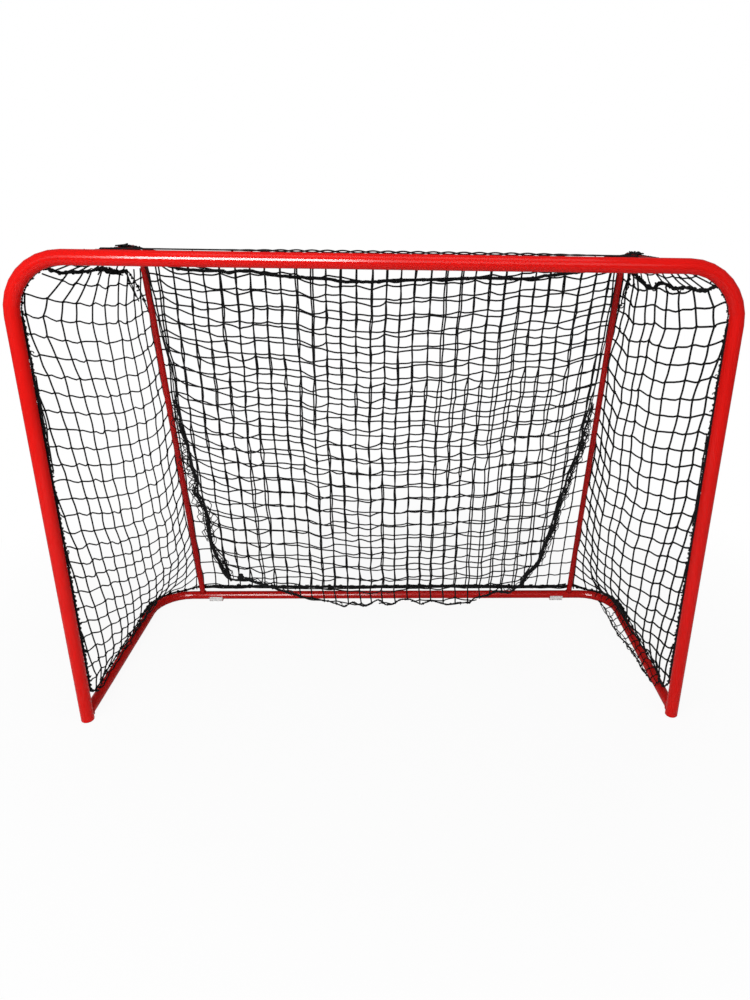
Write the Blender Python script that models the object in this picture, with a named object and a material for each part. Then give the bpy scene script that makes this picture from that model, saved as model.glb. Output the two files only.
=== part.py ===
"""Floorball goal: welded tube frame, laced main net and a drop net that hangs inside from its own rope.

Metres, +Z up, floor at Z = 0. The mouth faces -Y. Everything is modelled from the plane of the front frame
and hangs from one empty, which sets the middle of the footprint on the world origin.
"""

import math

import bmesh
import bpy
from mathutils import Vector

# Mouth and front frame
OPENING_WIDTH = 1.400
OPENING_HEIGHT = 1.050
FRONT_D = 0.030
FRONT_WALL = 0.0018
FRONT_BEND_R = 0.112

# Base frame on the floor
BASE_DEPTH = 0.590
BASE_D = 0.025
BASE_WALL = 0.0015
BASE_BEND_R = 0.100

# Stays from the crossbar down to the rear base tube
STAY_D = 0.016
STAY_WALL = 0.0012
STAY_PAST_BEND = 0.020
TOP_DEPTH = 0.390
STAY_BEND_R = 0.060

# Floor pads clipped under the rear base tube, and plugs in the ends of the legs
PAD_LENGTH = 0.040
PAD_WALL = 0.003
PAD_GAP_TO_STAY = 0.014
PAD_SOLE_ROUND = 0.006
PLUG_RIM_T = 0.001
PLUG_DEPTH = 0.016
PLUG_WALL = 0.003
PLUG_TAPER = 0.001

# Joints
SEAT = 0.0003
WELD_R = 0.0013
PLUG_FIT = 0.0004
CORD_FIT = 0.0004

# Netting: one built strand for each group of real meshes
MESH = 0.039
MESHES_PER_STEP = 3
STRAND_WIDTH = 0.004
STRAND_T = 0.003
CORNER_LACED = math.radians(60)
SIDE_NET_DROOP = 0.012
SIDE_NET_BELOW_BEND = 0.006
ROOF_SAG = 0.010
NET_INSET = 0.004

# Cords
EDGE_CORD_D = 0.008
BASE_CORD_D = 0.007
BASE_CORD_LIFT = 0.008
SEAM_CORD_D = 0.005
TIE_CORD_D = 0.006
DROP_CORD_D = 0.005
HEM_CORD_D = 0.006
TIE_ANGLE = math.radians(45)

# Drop net
DROP_SAG = 0.052
DROP_FLOOR_GAP = 0.100
DROP_CORNER_RISE = 0.055
DROP_FOOT_HALF = 0.400
DROP_HEAD_INSET = 0.006

# Roundness
FRONT_SIDES = 24
BASE_SIDES = 20
STAY_SIDES = 16
CUTTER_SIDES = 48

STEP = MESH * MESHES_PER_STEP
STRAND_REACH = math.hypot(STRAND_WIDTH, STRAND_T) / 2
FRONT_R = FRONT_D / 2
BASE_R = BASE_D / 2
STAY_R = STAY_D / 2
LEG_X = OPENING_WIDTH / 2 + FRONT_R
BAR_Z = OPENING_HEIGHT + FRONT_R
BASE_Z = PAD_WALL + SEAT + BASE_R
STAY_X = LEG_X - FRONT_BEND_R - STAY_PAST_BEND
BASE_CORD_OUT = (BASE_R + SEAT + BASE_CORD_D / 2) * math.sin(math.pi / 4)
EDGE_CORD_IN = (FRONT_R + SEAT + EDGE_CORD_D / 2) * math.sin(math.pi / 4)
REAR_REACH = BASE_DEPTH + BASE_CORD_OUT + BASE_CORD_D / 2
FRONT_Y = -(REAR_REACH - FRONT_R) / 2

for item in list(bpy.data.objects):
    bpy.data.objects.remove(item, do_unlink=True)

goal = bpy.data.objects.new("goal", None)
bpy.context.scene.collection.objects.link(goal)
goal.location = (0, FRONT_Y, 0)


def principled(name, colour, roughness, metallic=0.0, coat=0.0):
    """A plain material with the colour and finish of one sub-part."""
    material = bpy.data.materials.new(name)
    material.use_nodes = True
    shader = material.node_tree.nodes["Principled BSDF"]
    shader.inputs["Base Color"].default_value = (*colour, 1)
    shader.inputs["Roughness"].default_value = roughness
    shader.inputs["Metallic"].default_value = metallic
    shader.inputs["Coat Weight"].default_value = coat
    material.diffuse_color = (*colour, 1)
    return material


def enamel(name, roughness=0.24):
    """Glossy red powder coat on a tube or a bead."""
    return principled(f"{name}_red", (0.70, 0.012, 0.012), roughness, coat=0.5)


def twine(name):
    """Black netting twine."""
    return principled(f"{name}_black", (0.010, 0.010, 0.011), 0.7)


def braid(name):
    """Black braided cord."""
    return principled(f"{name}_black", (0.014, 0.014, 0.015), 0.75)


def place(name, data, material, parent):
    """Links an object under its parent, with its origin on the parent's."""
    obj = bpy.data.objects.new(name, data)
    bpy.context.scene.collection.objects.link(obj)
    obj.parent = parent
    data.materials.append(material)
    return obj


def solid(name, points, faces, material, smooth=True, parent=goal):
    """A closed mesh from points and faces, with its normals turned outwards."""
    mesh = bpy.data.meshes.new(name)
    mesh.from_pydata([tuple(p) for p in points], [], faces)
    work = bmesh.new()
    work.from_mesh(mesh)
    bmesh.ops.recalc_face_normals(work, faces=work.faces)
    work.to_mesh(mesh)
    work.free()
    if smooth:
        mesh.shade_smooth()
        mesh.set_sharp_from_angle(angle=math.radians(40))
    return place(name, mesh, material, parent)


def arc(centre, start, end, radius, first, last, steps):
    """Points on a bend, from the unit direction start to end, between two angles."""
    found = []
    for k in range(steps + 1):
        a = first + (last - first) * k / steps
        found.append(centre + radius * (math.cos(a) * start + math.sin(a) * end))
    return found


def bent_tube(name, path, binormal, radius, wall, sides, material):
    """Sweeps a round tube with its bore along a flat route. Both ends stay open."""
    points = []
    count = len(path)
    for ring_r in (radius, radius - wall):
        for k in range(count):
            ahead = path[min(k + 1, count - 1)] - path[k]
            behind = path[k] - path[max(k - 1, 0)]
            along = (ahead.normalized() + behind.normalized()).normalized()
            across = binormal.cross(along).normalized()
            stretch = 1 / max(along.dot((ahead if ahead.length else behind).normalized()), 0.5)
            for s in range(sides):
                a = 2 * math.pi * s / sides
                offset = stretch * math.cos(a) * across + math.sin(a) * binormal
                points.append(path[k] + ring_r * offset)
    inner = count * sides
    faces = []
    for k in range(count - 1):
        for s in range(sides):
            t = (s + 1) % sides
            low, high = k * sides, (k + 1) * sides
            faces.append((low + s, low + t, high + t, high + s))
            faces.append((inner + high + s, inner + high + t, inner + low + t, inner + low + s))
    for ring in (0, (count - 1) * sides):
        for s in range(sides):
            t = (s + 1) % sides
            faces.append((ring + s, inner + ring + s, inner + ring + t, ring + t))
    return solid(name, points, faces, material)


def cylinder_cutter(name, start, end, radius):
    """A hidden round bar that copes the end of a tube."""
    axis = (end - start).normalized()
    side = axis.orthogonal().normalized()
    other = axis.cross(side)
    points = []
    for centre in (start, end):
        for s in range(CUTTER_SIDES):
            a = 2 * math.pi * s / CUTTER_SIDES
            points.append(centre + radius * (math.cos(a) * side + math.sin(a) * other))
    n = CUTTER_SIDES
    faces = [(s, (s + 1) % n, n + (s + 1) % n, n + s) for s in range(n)]
    faces.append(tuple(reversed(range(n))))
    faces.append(tuple(range(n, 2 * n)))
    obj = solid(name, points, faces, cutter_look, smooth=False)
    obj.hide_render = True
    obj.display_type = "WIRE"
    return obj


def cut(obj, cutter):
    """Takes the cutter away from the object."""
    modifier = obj.modifiers.new("cope", "BOOLEAN")
    modifier.operation = "DIFFERENCE"
    modifier.solver = "EXACT"
    modifier.object = cutter


def cord(name, route, diameter, material, closed=False, resolution=2, parent=goal):
    """A round cord along its route."""
    curve = bpy.data.curves.new(name, "CURVE")
    curve.dimensions = "3D"
    curve.bevel_depth = diameter / 2
    curve.bevel_resolution = resolution
    curve.use_fill_caps = True
    spline = curve.splines.new("POLY")
    spline.points.add(len(route) - 1)
    for point, where in zip(spline.points, route):
        point.co = (*where, 1)
    spline.use_cyclic_u = closed
    return place(name, curve, material, parent)


def turned(name, profile, sides, centre, material):
    """Revolves a profile of (radius, height) pairs about the vertical, closed on the axis at both ends."""
    points = [centre + Vector((0, 0, profile[0][1]))]
    for radius, height in profile[1:-1]:
        for s in range(sides):
            a = 2 * math.pi * s / sides
            points.append(centre + Vector((radius * math.cos(a), radius * math.sin(a), height)))
    points.append(centre + Vector((0, 0, profile[-1][1])))
    last = len(points) - 1
    faces = []
    rings = len(profile) - 2
    for s in range(sides):
        t = (s + 1) % sides
        faces.append((0, 1 + t, 1 + s))
        for k in range(rings - 1):
            low, high = 1 + k * sides, 1 + (k + 1) * sides
            faces.append((low + s, low + t, high + t, high + s))
        top = 1 + (rings - 1) * sides
        faces.append((top + s, top + t, last))
    return solid(name, points, faces, material)


def weld_bead(name, at, branch, branch_r, along_main, main_r):
    """The bead round a coped end: a closed cord that follows the saddle between the two tubes."""
    reach = branch_r + SEAT + WELD_R
    side = branch.cross(along_main).normalized()
    route = []
    for s in range(20):
        a = 2 * math.pi * s / 20
        lift = math.sqrt((main_r + SEAT + WELD_R) ** 2 - (reach * math.sin(a)) ** 2)
        route.append(at + lift * branch + reach * (math.cos(a) * along_main + math.sin(a) * side))
    return cord(name, route, 2 * WELD_R, enamel(name, 0.3), closed=True, resolution=1)


def net(name, surface, columns, rows, parent=goal):
    """Square netting on a surface: crossings joined by flat strands, with an open gap in each mesh."""
    grid = {}
    for i in range(columns + 1):
        for j in range(rows + 1):
            grid[i, j] = surface(i / columns, j / rows)
    points = []
    corner = {}
    for (i, j), here in grid.items():
        right = (grid[min(i + 1, columns), j] - grid[max(i - 1, 0), j]).normalized()
        up = (grid[i, min(j + 1, rows)] - grid[i, max(j - 1, 0)]).normalized()
        out = right.cross(up).normalized()
        for a in (-1, 1):
            for b in (-1, 1):
                for c in (-1, 1):
                    corner[i, j, a, b, c] = len(points)
                    shift = (a * right + b * up) * STRAND_WIDTH / 2 + c * out * STRAND_T / 2
                    points.append(here + shift)
    faces = []
    for i, j in grid:
        for c in (-1, 1):
            faces.append([corner[i, j, a, b, c] for a, b in ((-1, -1), (1, -1), (1, 1), (-1, 1))])
        if i < columns:
            for b in (-1, 1):
                faces.append([corner[k] for k in ((i, j, 1, b, -1), (i + 1, j, -1, b, -1),
                                                  (i + 1, j, -1, b, 1), (i, j, 1, b, 1))])
            for c in (-1, 1):
                faces.append([corner[k] for k in ((i, j, 1, -1, c), (i + 1, j, -1, -1, c),
                                                  (i + 1, j, -1, 1, c), (i, j, 1, 1, c))])
        if j < rows:
            for a in (-1, 1):
                faces.append([corner[k] for k in ((i, j, a, 1, -1), (i, j + 1, a, -1, -1),
                                                  (i, j + 1, a, -1, 1), (i, j, a, 1, 1))])
            for c in (-1, 1):
                faces.append([corner[k] for k in ((i, j, -1, 1, c), (i, j + 1, -1, -1, c),
                                                  (i, j + 1, 1, -1, c), (i, j, 1, 1, c))])
        for edge, a in ((0, -1), (columns, 1)):
            if i == edge:
                faces.append([corner[i, j, a, b, c] for b, c in ((-1, -1), (1, -1), (1, 1), (-1, 1))])
        for edge, b in ((0, -1), (rows, 1)):
            if j == edge:
                faces.append([corner[i, j, a, b, c] for a, c in ((-1, -1), (1, -1), (1, 1), (-1, 1))])
    return solid(name, points, faces, twine(name), smooth=False, parent=parent)


def cord_z(share):
    """Height of the base cord: on the tube's shoulder at the sides (0), lifted off it at the back (1)."""
    return BASE_Z + BASE_CORD_OUT + BASE_CORD_LIFT * share * share * (3 - 2 * share)


def net_low(share):
    """Height of the lowest strand of the main net, which lies on the base cord."""
    return cord_z(share) + BASE_CORD_D / 2 + CORD_FIT + STRAND_WIDTH / 2


def meshes(length):
    """How many built meshes fill a length."""
    return max(2, round(length / STEP))


cutter_look = principled("cutter", (0.5, 0.5, 0.5), 0.5)
X, Y, Z = Vector((1, 0, 0)), Vector((0, 1, 0)), Vector((0, 0, 1))

# Front frame: one tube bent into an inverted U, its legs cut square just above the floor
leg_foot = PLUG_RIM_T + SEAT
left_bend = Vector((-LEG_X + FRONT_BEND_R, 0, BAR_Z - FRONT_BEND_R))
right_bend = Vector((LEG_X - FRONT_BEND_R, 0, BAR_Z - FRONT_BEND_R))
quarter = math.pi / 2
front_path = [Vector((-LEG_X, 0, leg_foot))]
front_path += arc(left_bend, -X, Z, FRONT_BEND_R, 0, quarter, 8)
front_path += arc(right_bend, Z, X, FRONT_BEND_R, 0, quarter, 8)
front_path += [Vector((LEG_X, 0, leg_foot))]
bent_tube("front_frame", front_path, Y, FRONT_R, FRONT_WALL, FRONT_SIDES, enamel("front_frame", 0.22))

# Base frame: one thinner tube bent into a U on the floor, coped onto the backs of the legs
base_left = Vector((-LEG_X + BASE_BEND_R, BASE_DEPTH - BASE_BEND_R, BASE_Z))
base_right = Vector((LEG_X - BASE_BEND_R, BASE_DEPTH - BASE_BEND_R, BASE_Z))
base_path = [Vector((-LEG_X, 0, BASE_Z))]
base_path += arc(base_left, -X, Y, BASE_BEND_R, 0, quarter, 7)
base_path += arc(base_right, Y, X, BASE_BEND_R, 0, quarter, 7)
base_path += [Vector((LEG_X, 0, BASE_Z))]
base_frame = bent_tube("base_frame", base_path, Z, BASE_R, BASE_WALL, BASE_SIDES, enamel("base_frame"))
for side, word in ((-1, "left"), (1, "right")):
    foot = side * LEG_X * X
    cutter_top = foot + 2 * BASE_D * Z
    cut(base_frame, cylinder_cutter(f"{word}_leg_cutter", foot - BASE_D * Z, cutter_top, FRONT_R + SEAT))

# Stays: level run back from the crossbar, one bend, then down to the rear base tube
lean = math.atan2(BASE_DEPTH - TOP_DEPTH, BAR_Z - BASE_Z)
down = Vector((0, math.sin(lean), -math.cos(lean)))
stay_turn = math.pi / 2 - lean
stay_tangent = STAY_BEND_R * math.tan(stay_turn / 2)
bar_middle = Vector((0, 0, BAR_Z))
rear_middle = Vector((0, BASE_DEPTH, BASE_Z))
reach = LEG_X * X
bar_cutter = cylinder_cutter("bar_cutter", bar_middle - reach, bar_middle + reach, FRONT_R + SEAT)
rear_cutter = cylinder_cutter("rear_cutter", rear_middle - reach, rear_middle + reach, BASE_R + SEAT)


def on_stay(side, height):
    """The point of a stay's sloping axis at a height."""
    return Vector((side * STAY_X, TOP_DEPTH + (BAR_Z - height) * math.tan(lean), height))


def stay_bend_point(side, angle):
    """The point of a stay's axis at an angle into its bend, 0 at the level run."""
    centre = Vector((side * STAY_X, TOP_DEPTH - stay_tangent, BAR_Z - STAY_BEND_R))
    return centre + STAY_BEND_R * (math.sin(angle) * Y + math.cos(angle) * Z)


for side, word in ((-1, "left"), (1, "right")):
    stay_path = [Vector((side * STAY_X, 0, BAR_Z))]
    stay_path += [stay_bend_point(side, stay_turn * k / 7) for k in range(8)]
    stay_path += [on_stay(side, BASE_Z)]
    stay = bent_tube(f"{word}_stay", stay_path, X, STAY_R, STAY_WALL, STAY_SIDES, enamel(f"{word}_stay"))
    cut(stay, bar_cutter)
    cut(stay, rear_cutter)

# Weld beads at the six joints
for side, word in ((-1, "left"), (1, "right")):
    weld_bead(f"{word}_leg_weld", Vector((side * LEG_X, 0, BASE_Z)), Y, BASE_R, Z, FRONT_R)
    weld_bead(f"{word}_bar_weld", bar_middle + side * STAY_X * X, Y, STAY_R, X, FRONT_R)
    weld_bead(f"{word}_foot_weld", rear_middle + side * STAY_X * X, -down, STAY_R, X, BASE_R)

# Plugs pressed into the ends of the legs: the goal stands on their rims
bore_r = FRONT_R - FRONT_WALL
for side, word in ((-1, "left"), (1, "right")):
    spigot_r = bore_r * math.cos(math.pi / FRONT_SIDES) - PLUG_FIT
    core_r = spigot_r - PLUG_WALL
    floor_r = FRONT_R - PLUG_RIM_T
    plug_profile = [
        (0, 0),
        (floor_r, 0),
        (floor_r + PLUG_RIM_T / 2, PLUG_RIM_T),
        (spigot_r, PLUG_RIM_T),
        (spigot_r, PLUG_DEPTH - PLUG_TAPER),
        (spigot_r - PLUG_TAPER, PLUG_DEPTH),
        (core_r, PLUG_DEPTH),
        (core_r, PLUG_RIM_T + PLUG_WALL),
        (0, PLUG_RIM_T + PLUG_WALL),
    ]
    plug_look = principled(f"{word}_plug_black", (0.02, 0.02, 0.02), 0.5)
    turned(f"{word}_leg_plug", plug_profile, FRONT_SIDES, side * LEG_X * X, plug_look)

# Pads clipped round the lower half of the rear tube, just inside the stays
pad_x = STAY_X - STAY_R - PAD_GAP_TO_STAY - PAD_LENGTH / 2
pad_bore = BASE_R + SEAT
pad_half = pad_bore + PAD_WALL
for side, word in ((-1, "left"), (1, "right")):
    outline = [(-pad_half, BASE_Z)]
    sole_half = pad_half - PAD_SOLE_ROUND
    for turn, corner_y in ((2 * quarter, -sole_half), (3 * quarter, sole_half)):
        for k in range(6):
            a = turn + quarter * k / 5
            outline.append((corner_y + PAD_SOLE_ROUND * math.cos(a), PAD_SOLE_ROUND * (1 + math.sin(a))))
    outline.append((pad_half, BASE_Z))
    for k in range(13):
        a = -math.pi * k / 12
        outline.append((pad_bore * math.cos(a), BASE_Z + pad_bore * math.sin(a)))
    count = len(outline)
    pad_points = []
    for end in (-PAD_LENGTH / 2, PAD_LENGTH / 2):
        pad_points += [Vector((side * pad_x + end, BASE_DEPTH + y, z)) for y, z in outline]
    pad_faces = [tuple(range(count)), tuple(reversed(range(count, 2 * count)))]
    pad_faces += [(k, (k + 1) % count, count + (k + 1) % count, count + k) for k in range(count)]
    pad_look = principled(f"{word}_pad_white", (0.86, 0.86, 0.85), 0.45)
    solid(f"{word}_floor_pad", pad_points, pad_faces, pad_look)

# Main net: side panels from the legs round the base to the stays, back panel behind them, top panel over
net_offset = STAY_R + SEAT + STRAND_T / 2
behind = Vector((0, math.cos(lean), math.sin(lean))) * net_offset
side_top = BAR_Z - stay_tangent * math.cos(lean) - SIDE_NET_BELOW_BEND
front_edge_x = LEG_X - EDGE_CORD_IN
front_edge_y = EDGE_CORD_IN + EDGE_CORD_D / 2 + CORD_FIT + STRAND_REACH
side_edge_x = STAY_X + STAY_R + SEAT + STRAND_REACH
side_run = BASE_DEPTH - BASE_BEND_R


def base_edge(side, part):
    """A point over the base tube, from the leg (0) round the rear corner to the stay (1)."""
    corner_r = BASE_BEND_R + BASE_CORD_OUT
    lengths = (side_run - front_edge_y, corner_r * quarter, LEG_X - BASE_BEND_R - side_edge_x)
    along = part * sum(lengths)
    if along <= lengths[0]:
        out = front_edge_x + min(1, along / STEP) * (LEG_X + BASE_CORD_OUT - front_edge_x)
        return Vector((side * out, front_edge_y + along, net_low(0)))
    if along <= lengths[0] + lengths[1]:
        a = (along - lengths[0]) / corner_r
        out = LEG_X - BASE_BEND_R + corner_r * math.cos(a)
        return Vector((side * out, side_run + corner_r * math.sin(a), net_low(a / quarter)))
    left_over = along - lengths[0] - lengths[1]
    end = on_stay(side, net_low(1))
    share = min(1, left_over / lengths[2])
    start_y = side_run + corner_r
    return Vector((side * (LEG_X - BASE_BEND_R - left_over), start_y + share * (end.y - start_y), end.z))


edge_bend_r = FRONT_BEND_R - EDGE_CORD_IN
leg_run = BAR_Z - FRONT_BEND_R - net_low(0)


def front_edge(side, part):
    """A point of the panel's front edge: up the leg (0), then into the top corner (1)."""
    along = part * (leg_run + edge_bend_r * CORNER_LACED)
    if along <= leg_run:
        return Vector((side * front_edge_x, front_edge_y, net_low(0) + along))
    a = (along - leg_run) / edge_bend_r
    out = LEG_X - FRONT_BEND_R + edge_bend_r * math.cos(a)
    return Vector((side * out, front_edge_y, BAR_Z - FRONT_BEND_R + edge_bend_r * math.sin(a)))


def side_net_surface(side):
    """The side panel: along the leg and its bend, round the base below, down the stay behind."""
    top_front = front_edge(side, 1)
    top_rear = on_stay(side, side_top)
    top_rear.x = side * side_edge_x

    def surface(u, v):
        low = base_edge(side, u)
        if u == 1:
            low.x = side * side_edge_x
        high = top_front.lerp(top_rear, u) - 4 * SIDE_NET_DROOP * u * (1 - u) * Z
        bulge = front_edge(side, v) - base_edge(side, 0).lerp(top_front, v)
        return low.lerp(high, v) + (1 - u) * bulge

    return surface


base_run = side_run + BASE_BEND_R * quarter
side_columns = meshes(base_run)
side_rows = meshes(leg_run + edge_bend_r * CORNER_LACED)
for side, word in ((-1, "left"), (1, "right")):
    net(f"{word}_net", side_net_surface(side), side_columns, side_rows)

# Back and top panels, which meet in a seam half way round the stays' bends
seam_half = TIE_CORD_D / 2 + CORD_FIT + STRAND_WIDTH / 2
seam_turn = seam_half / (STAY_BEND_R + net_offset)
roof_turn = TIE_ANGLE - seam_turn
back_turn = stay_turn - TIE_ANGLE - seam_turn
bend_steps = 2
round_bend = (STAY_BEND_R + net_offset) / math.cos(max(roof_turn, back_turn) / bend_steps / 2)


def round_stays(angle):
    """The point of a panel behind the stays' bends, at an angle into the bend."""
    centre = Vector((0, TOP_DEPTH - stay_tangent, BAR_Z - STAY_BEND_R))
    return centre + round_bend * (math.sin(angle) * Y + math.cos(angle) * Z)


def sagging(u):
    """How far the roof hangs down between the stays."""
    return ROOF_SAG * (1 - (2 * u - 1) ** 2) * Z


back_half = STAY_X - NET_INSET
back_low = on_stay(0, net_low(1)) + behind
back_low.z = net_low(1)
back_straight = meshes((round_stays(stay_turn) - back_low).length)
back_rows = back_straight + bend_steps
over_weld = STAY_R + SEAT + 2 * WELD_R + CORD_FIT + STRAND_T / 2
roof_front = Vector((0, FRONT_R + SEAT + STRAND_WIDTH / 2, BAR_Z + over_weld))
roof_straight = meshes((round_stays(0) - roof_front).length)
roof_rows = roof_straight + bend_steps


def back_surface(u, v):
    row = round(v * back_rows)
    across = (2 * u - 1) * back_half * X
    if row <= back_straight:
        return across + back_low.lerp(round_stays(stay_turn), row / back_straight)
    share = (row - back_straight) / bend_steps
    return across + round_stays(stay_turn - share * back_turn) - share * sagging(u)


def roof_surface(u, v):
    row = round(v * roof_rows)
    across = (2 * u - 1) * back_half * X
    if row <= roof_straight:
        share = row / roof_straight
        return across + roof_front.lerp(round_stays(0), share) - share * sagging(u)
    return across + round_stays((row - roof_straight) / bend_steps * roof_turn) - sagging(u)


roof_columns = meshes(2 * back_half)
net("back_net", back_surface, roof_columns, back_rows)
net("top_net", roof_surface, roof_columns, roof_rows)

# Sides of the roof: a strip of net from the level run of each stay out to the seam over the side panel
clear_of_weld = FRONT_R + 2 * WELD_R + CORD_FIT + STRAND_REACH
seam_over_panel = STRAND_WIDTH / 2 + CORD_FIT + SEAM_CORD_D / 2
strip_over_seam = SEAM_CORD_D / 2 + CORD_FIT + STRAND_REACH
level_run = TOP_DEPTH - stay_tangent - front_edge_y
strip_rows = int(side_columns * level_run / (on_stay(1, side_top).y - front_edge_y))


def roof_side_surface(side):
    """The strip beside a stay, with a rung over each column of the side panel as far as the stay is level."""
    panel = side_net_surface(side)

    def surface(u, v):
        over = panel(v * strip_rows / side_columns, 1) + (seam_over_panel + strip_over_seam) * Z
        beside = Vector((side * side_edge_x, max(over.y, clear_of_weld), BAR_Z))
        return beside.lerp(over, u)

    return surface


for side, word in ((-1, "left"), (1, "right")):
    net(f"{word}_roof_side", roof_side_surface(side), 1, strip_rows)

# Cords that lace the main net to the legs and round the top corners, inside and behind the tube
for side, word in ((-1, "left"), (1, "right")):
    corner = Vector((side * (LEG_X - FRONT_BEND_R), EDGE_CORD_IN, BAR_Z - FRONT_BEND_R))
    lacing_path = [Vector((side * front_edge_x, EDGE_CORD_IN, net_low(0)))]
    lacing_path += arc(corner, side * X, Z, edge_bend_r, 0, CORNER_LACED, 6)
    cord(f"{word}_lacing", lacing_path, EDGE_CORD_D, braid(f"{word}_lacing"))

# Border cord of the main net on the outer shoulder of the base tube
cord_start = FRONT_R + 3 * WELD_R + BASE_CORD_D
base_cord_path = [Vector((-LEG_X - BASE_CORD_OUT, cord_start, cord_z(0)))]
left_turn = arc(base_left, -X, Y, BASE_BEND_R + BASE_CORD_OUT, 0, quarter, 8)
right_turn = arc(base_right, Y, X, BASE_BEND_R + BASE_CORD_OUT, 0, quarter, 8)
base_cord_path += [Vector((p.x, p.y, cord_z(k / 8))) for k, p in enumerate(left_turn)]
base_cord_path += [Vector((p.x, p.y, cord_z(1 - k / 8))) for k, p in enumerate(right_turn)]
base_cord_path += [Vector((LEG_X + BASE_CORD_OUT, cord_start, cord_z(0)))]
cord("base_cord", base_cord_path, BASE_CORD_D, braid("base_cord"))

# Seams of the main net: along the back of the roof, and down the outer back of each stay
tie_r = STAY_R + CORD_FIT + TIE_CORD_D / 2
between_ties = STAY_X - tie_r - TIE_CORD_D / 2 - CORD_FIT
roof_seam_path = []
for k in range(roof_columns + 1):
    u = k / roof_columns
    roof_seam_path.append(round_stays(TIE_ANGLE) + (2 * u - 1) * between_ties * X - sagging(u))
cord("roof_seam", roof_seam_path, SEAM_CORD_D, braid("roof_seam"))
seam_reach = (STAY_R + CORD_FIT + SEAM_CORD_D / 2) * math.sin(math.pi / 4)
for side, word in ((-1, "left"), (1, "right")):
    beside = side * seam_reach * X + seam_reach / net_offset * behind
    low_end = on_stay(side, net_low(1) + STRAND_WIDTH / 2) + beside
    high_end = on_stay(side, side_top) + beside
    back_seam_path = [low_end, low_end.lerp(high_end, 0.5), high_end]
    cord(f"{word}_back_seam", back_seam_path, SEAM_CORD_D, braid(f"{word}_back_seam"))
    panel = side_net_surface(side)
    top_seam_path = [panel(k / side_columns, 1) + seam_over_panel * Z for k in range(side_columns + 1)]
    top_seam_path[0] = top_seam_path[0].lerp(top_seam_path[1], SEAM_CORD_D / STEP)
    top_seam_path[-1] = top_seam_path[-1].lerp(top_seam_path[-2], SEAM_CORD_D / STEP)
    cord(f"{word}_top_seam", top_seam_path, SEAM_CORD_D, braid(f"{word}_top_seam"))

# Cord ties round the bends of the stays, which carry the drop net's rope
for side, word in ((-1, "left"), (1, "right")):
    tie_centre = stay_bend_point(side, TIE_ANGLE)
    tie_across = math.cos(TIE_ANGLE) * Z + math.sin(TIE_ANGLE) * Y
    loop = []
    for s in range(20):
        a = 2 * math.pi * s / 20
        loop.append(tie_centre + tie_r * (math.cos(a) * X + math.sin(a) * tie_across))
    cord(f"{word}_tie", loop, TIE_CORD_D, braid(f"{word}_tie"), closed=True)

# Drop net: hangs from its rope between the ties and swings about the line through the rope's ends
hinge = stay_bend_point(0, TIE_ANGLE)
drop_axis = bpy.data.objects.new("drop_net_axis", None)
bpy.context.scene.collection.objects.link(drop_axis)
drop_axis.parent = goal
drop_axis.location = hinge
rope_r = DROP_CORD_D / 2
panel_gap = rope_r + CORD_FIT + STRAND_WIDTH / 2


def rope_z(x):
    return hinge.z - DROP_SAG * (1 - (x / between_ties) ** 2)


def drop_half(v):
    head = between_ties - DROP_HEAD_INSET - HEM_CORD_D - STRAND_WIDTH / 2
    return DROP_FOOT_HALF + (head - DROP_FOOT_HALF) * math.sqrt(v)


def drop_surface(u, v):
    """Flat hanging net: sagging head, drawn-in sides and a foot that lifts at the corners."""
    x = (2 * u - 1) * drop_half(v)
    foot_z = DROP_FLOOR_GAP + DROP_CORNER_RISE * (2 * u - 1) ** 2
    head_z = rope_z((2 * u - 1) * drop_half(1)) - 1.15 * panel_gap
    return Vector((x, hinge.y, foot_z + v * (head_z - foot_z)))


rope_steps = 24
rope_path = []
for k in range(rope_steps + 1):
    x = between_ties * (2 * k / rope_steps - 1)
    rope_path.append(Vector((x, hinge.y, rope_z(x))))
cord("drop_rope", [p - hinge for p in rope_path], DROP_CORD_D, braid("drop_rope"), parent=drop_axis)
drop_columns = meshes(2 * drop_half(0.5))
drop_rows = meshes(hinge.z - DROP_SAG - DROP_FLOOR_GAP)
net("drop_net", lambda u, v: drop_surface(u, v) - hinge, drop_columns, drop_rows, parent=drop_axis)

# Hem of the drop net: bunched sides and foot, as one cord round three edges
hem_gap = STRAND_WIDTH / 2 + CORD_FIT + HEM_CORD_D / 2
side_points = 18
foot_points = 16
rim = [drop_surface(0, 1 - k / side_points) for k in range(side_points)]
rim += [drop_surface(k / foot_points, 0) for k in range(foot_points + 1)]
rim += [drop_surface(1, (k + 1) / side_points) for k in range(side_points)]
hem_path = []
for k, here in enumerate(rim):
    ahead = rim[min(k + 1, len(rim) - 1)] - here
    back = here - rim[max(k - 1, 0)]
    along = (ahead.normalized() + back.normalized()).normalized()
    outward = Vector((along.z, 0, -along.x))
    turn = max(0.5, along.dot(ahead.normalized() if ahead.length else back.normalized()))
    hem_path.append(here + outward * hem_gap / turn)
hem_path[0].z -= HEM_CORD_D / 2
hem_path[-1].z -= HEM_CORD_D / 2
cord("drop_hem", [p - hinge for p in hem_path], HEM_CORD_D, braid("drop_hem"), parent=drop_axis)
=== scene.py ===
"""Looks of the floorball goal: the photo's viewpoint and light, paint, plastic, full nets and cords."""

import math

import bpy
import numpy as np
from mathutils import Matrix, Vector


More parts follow.
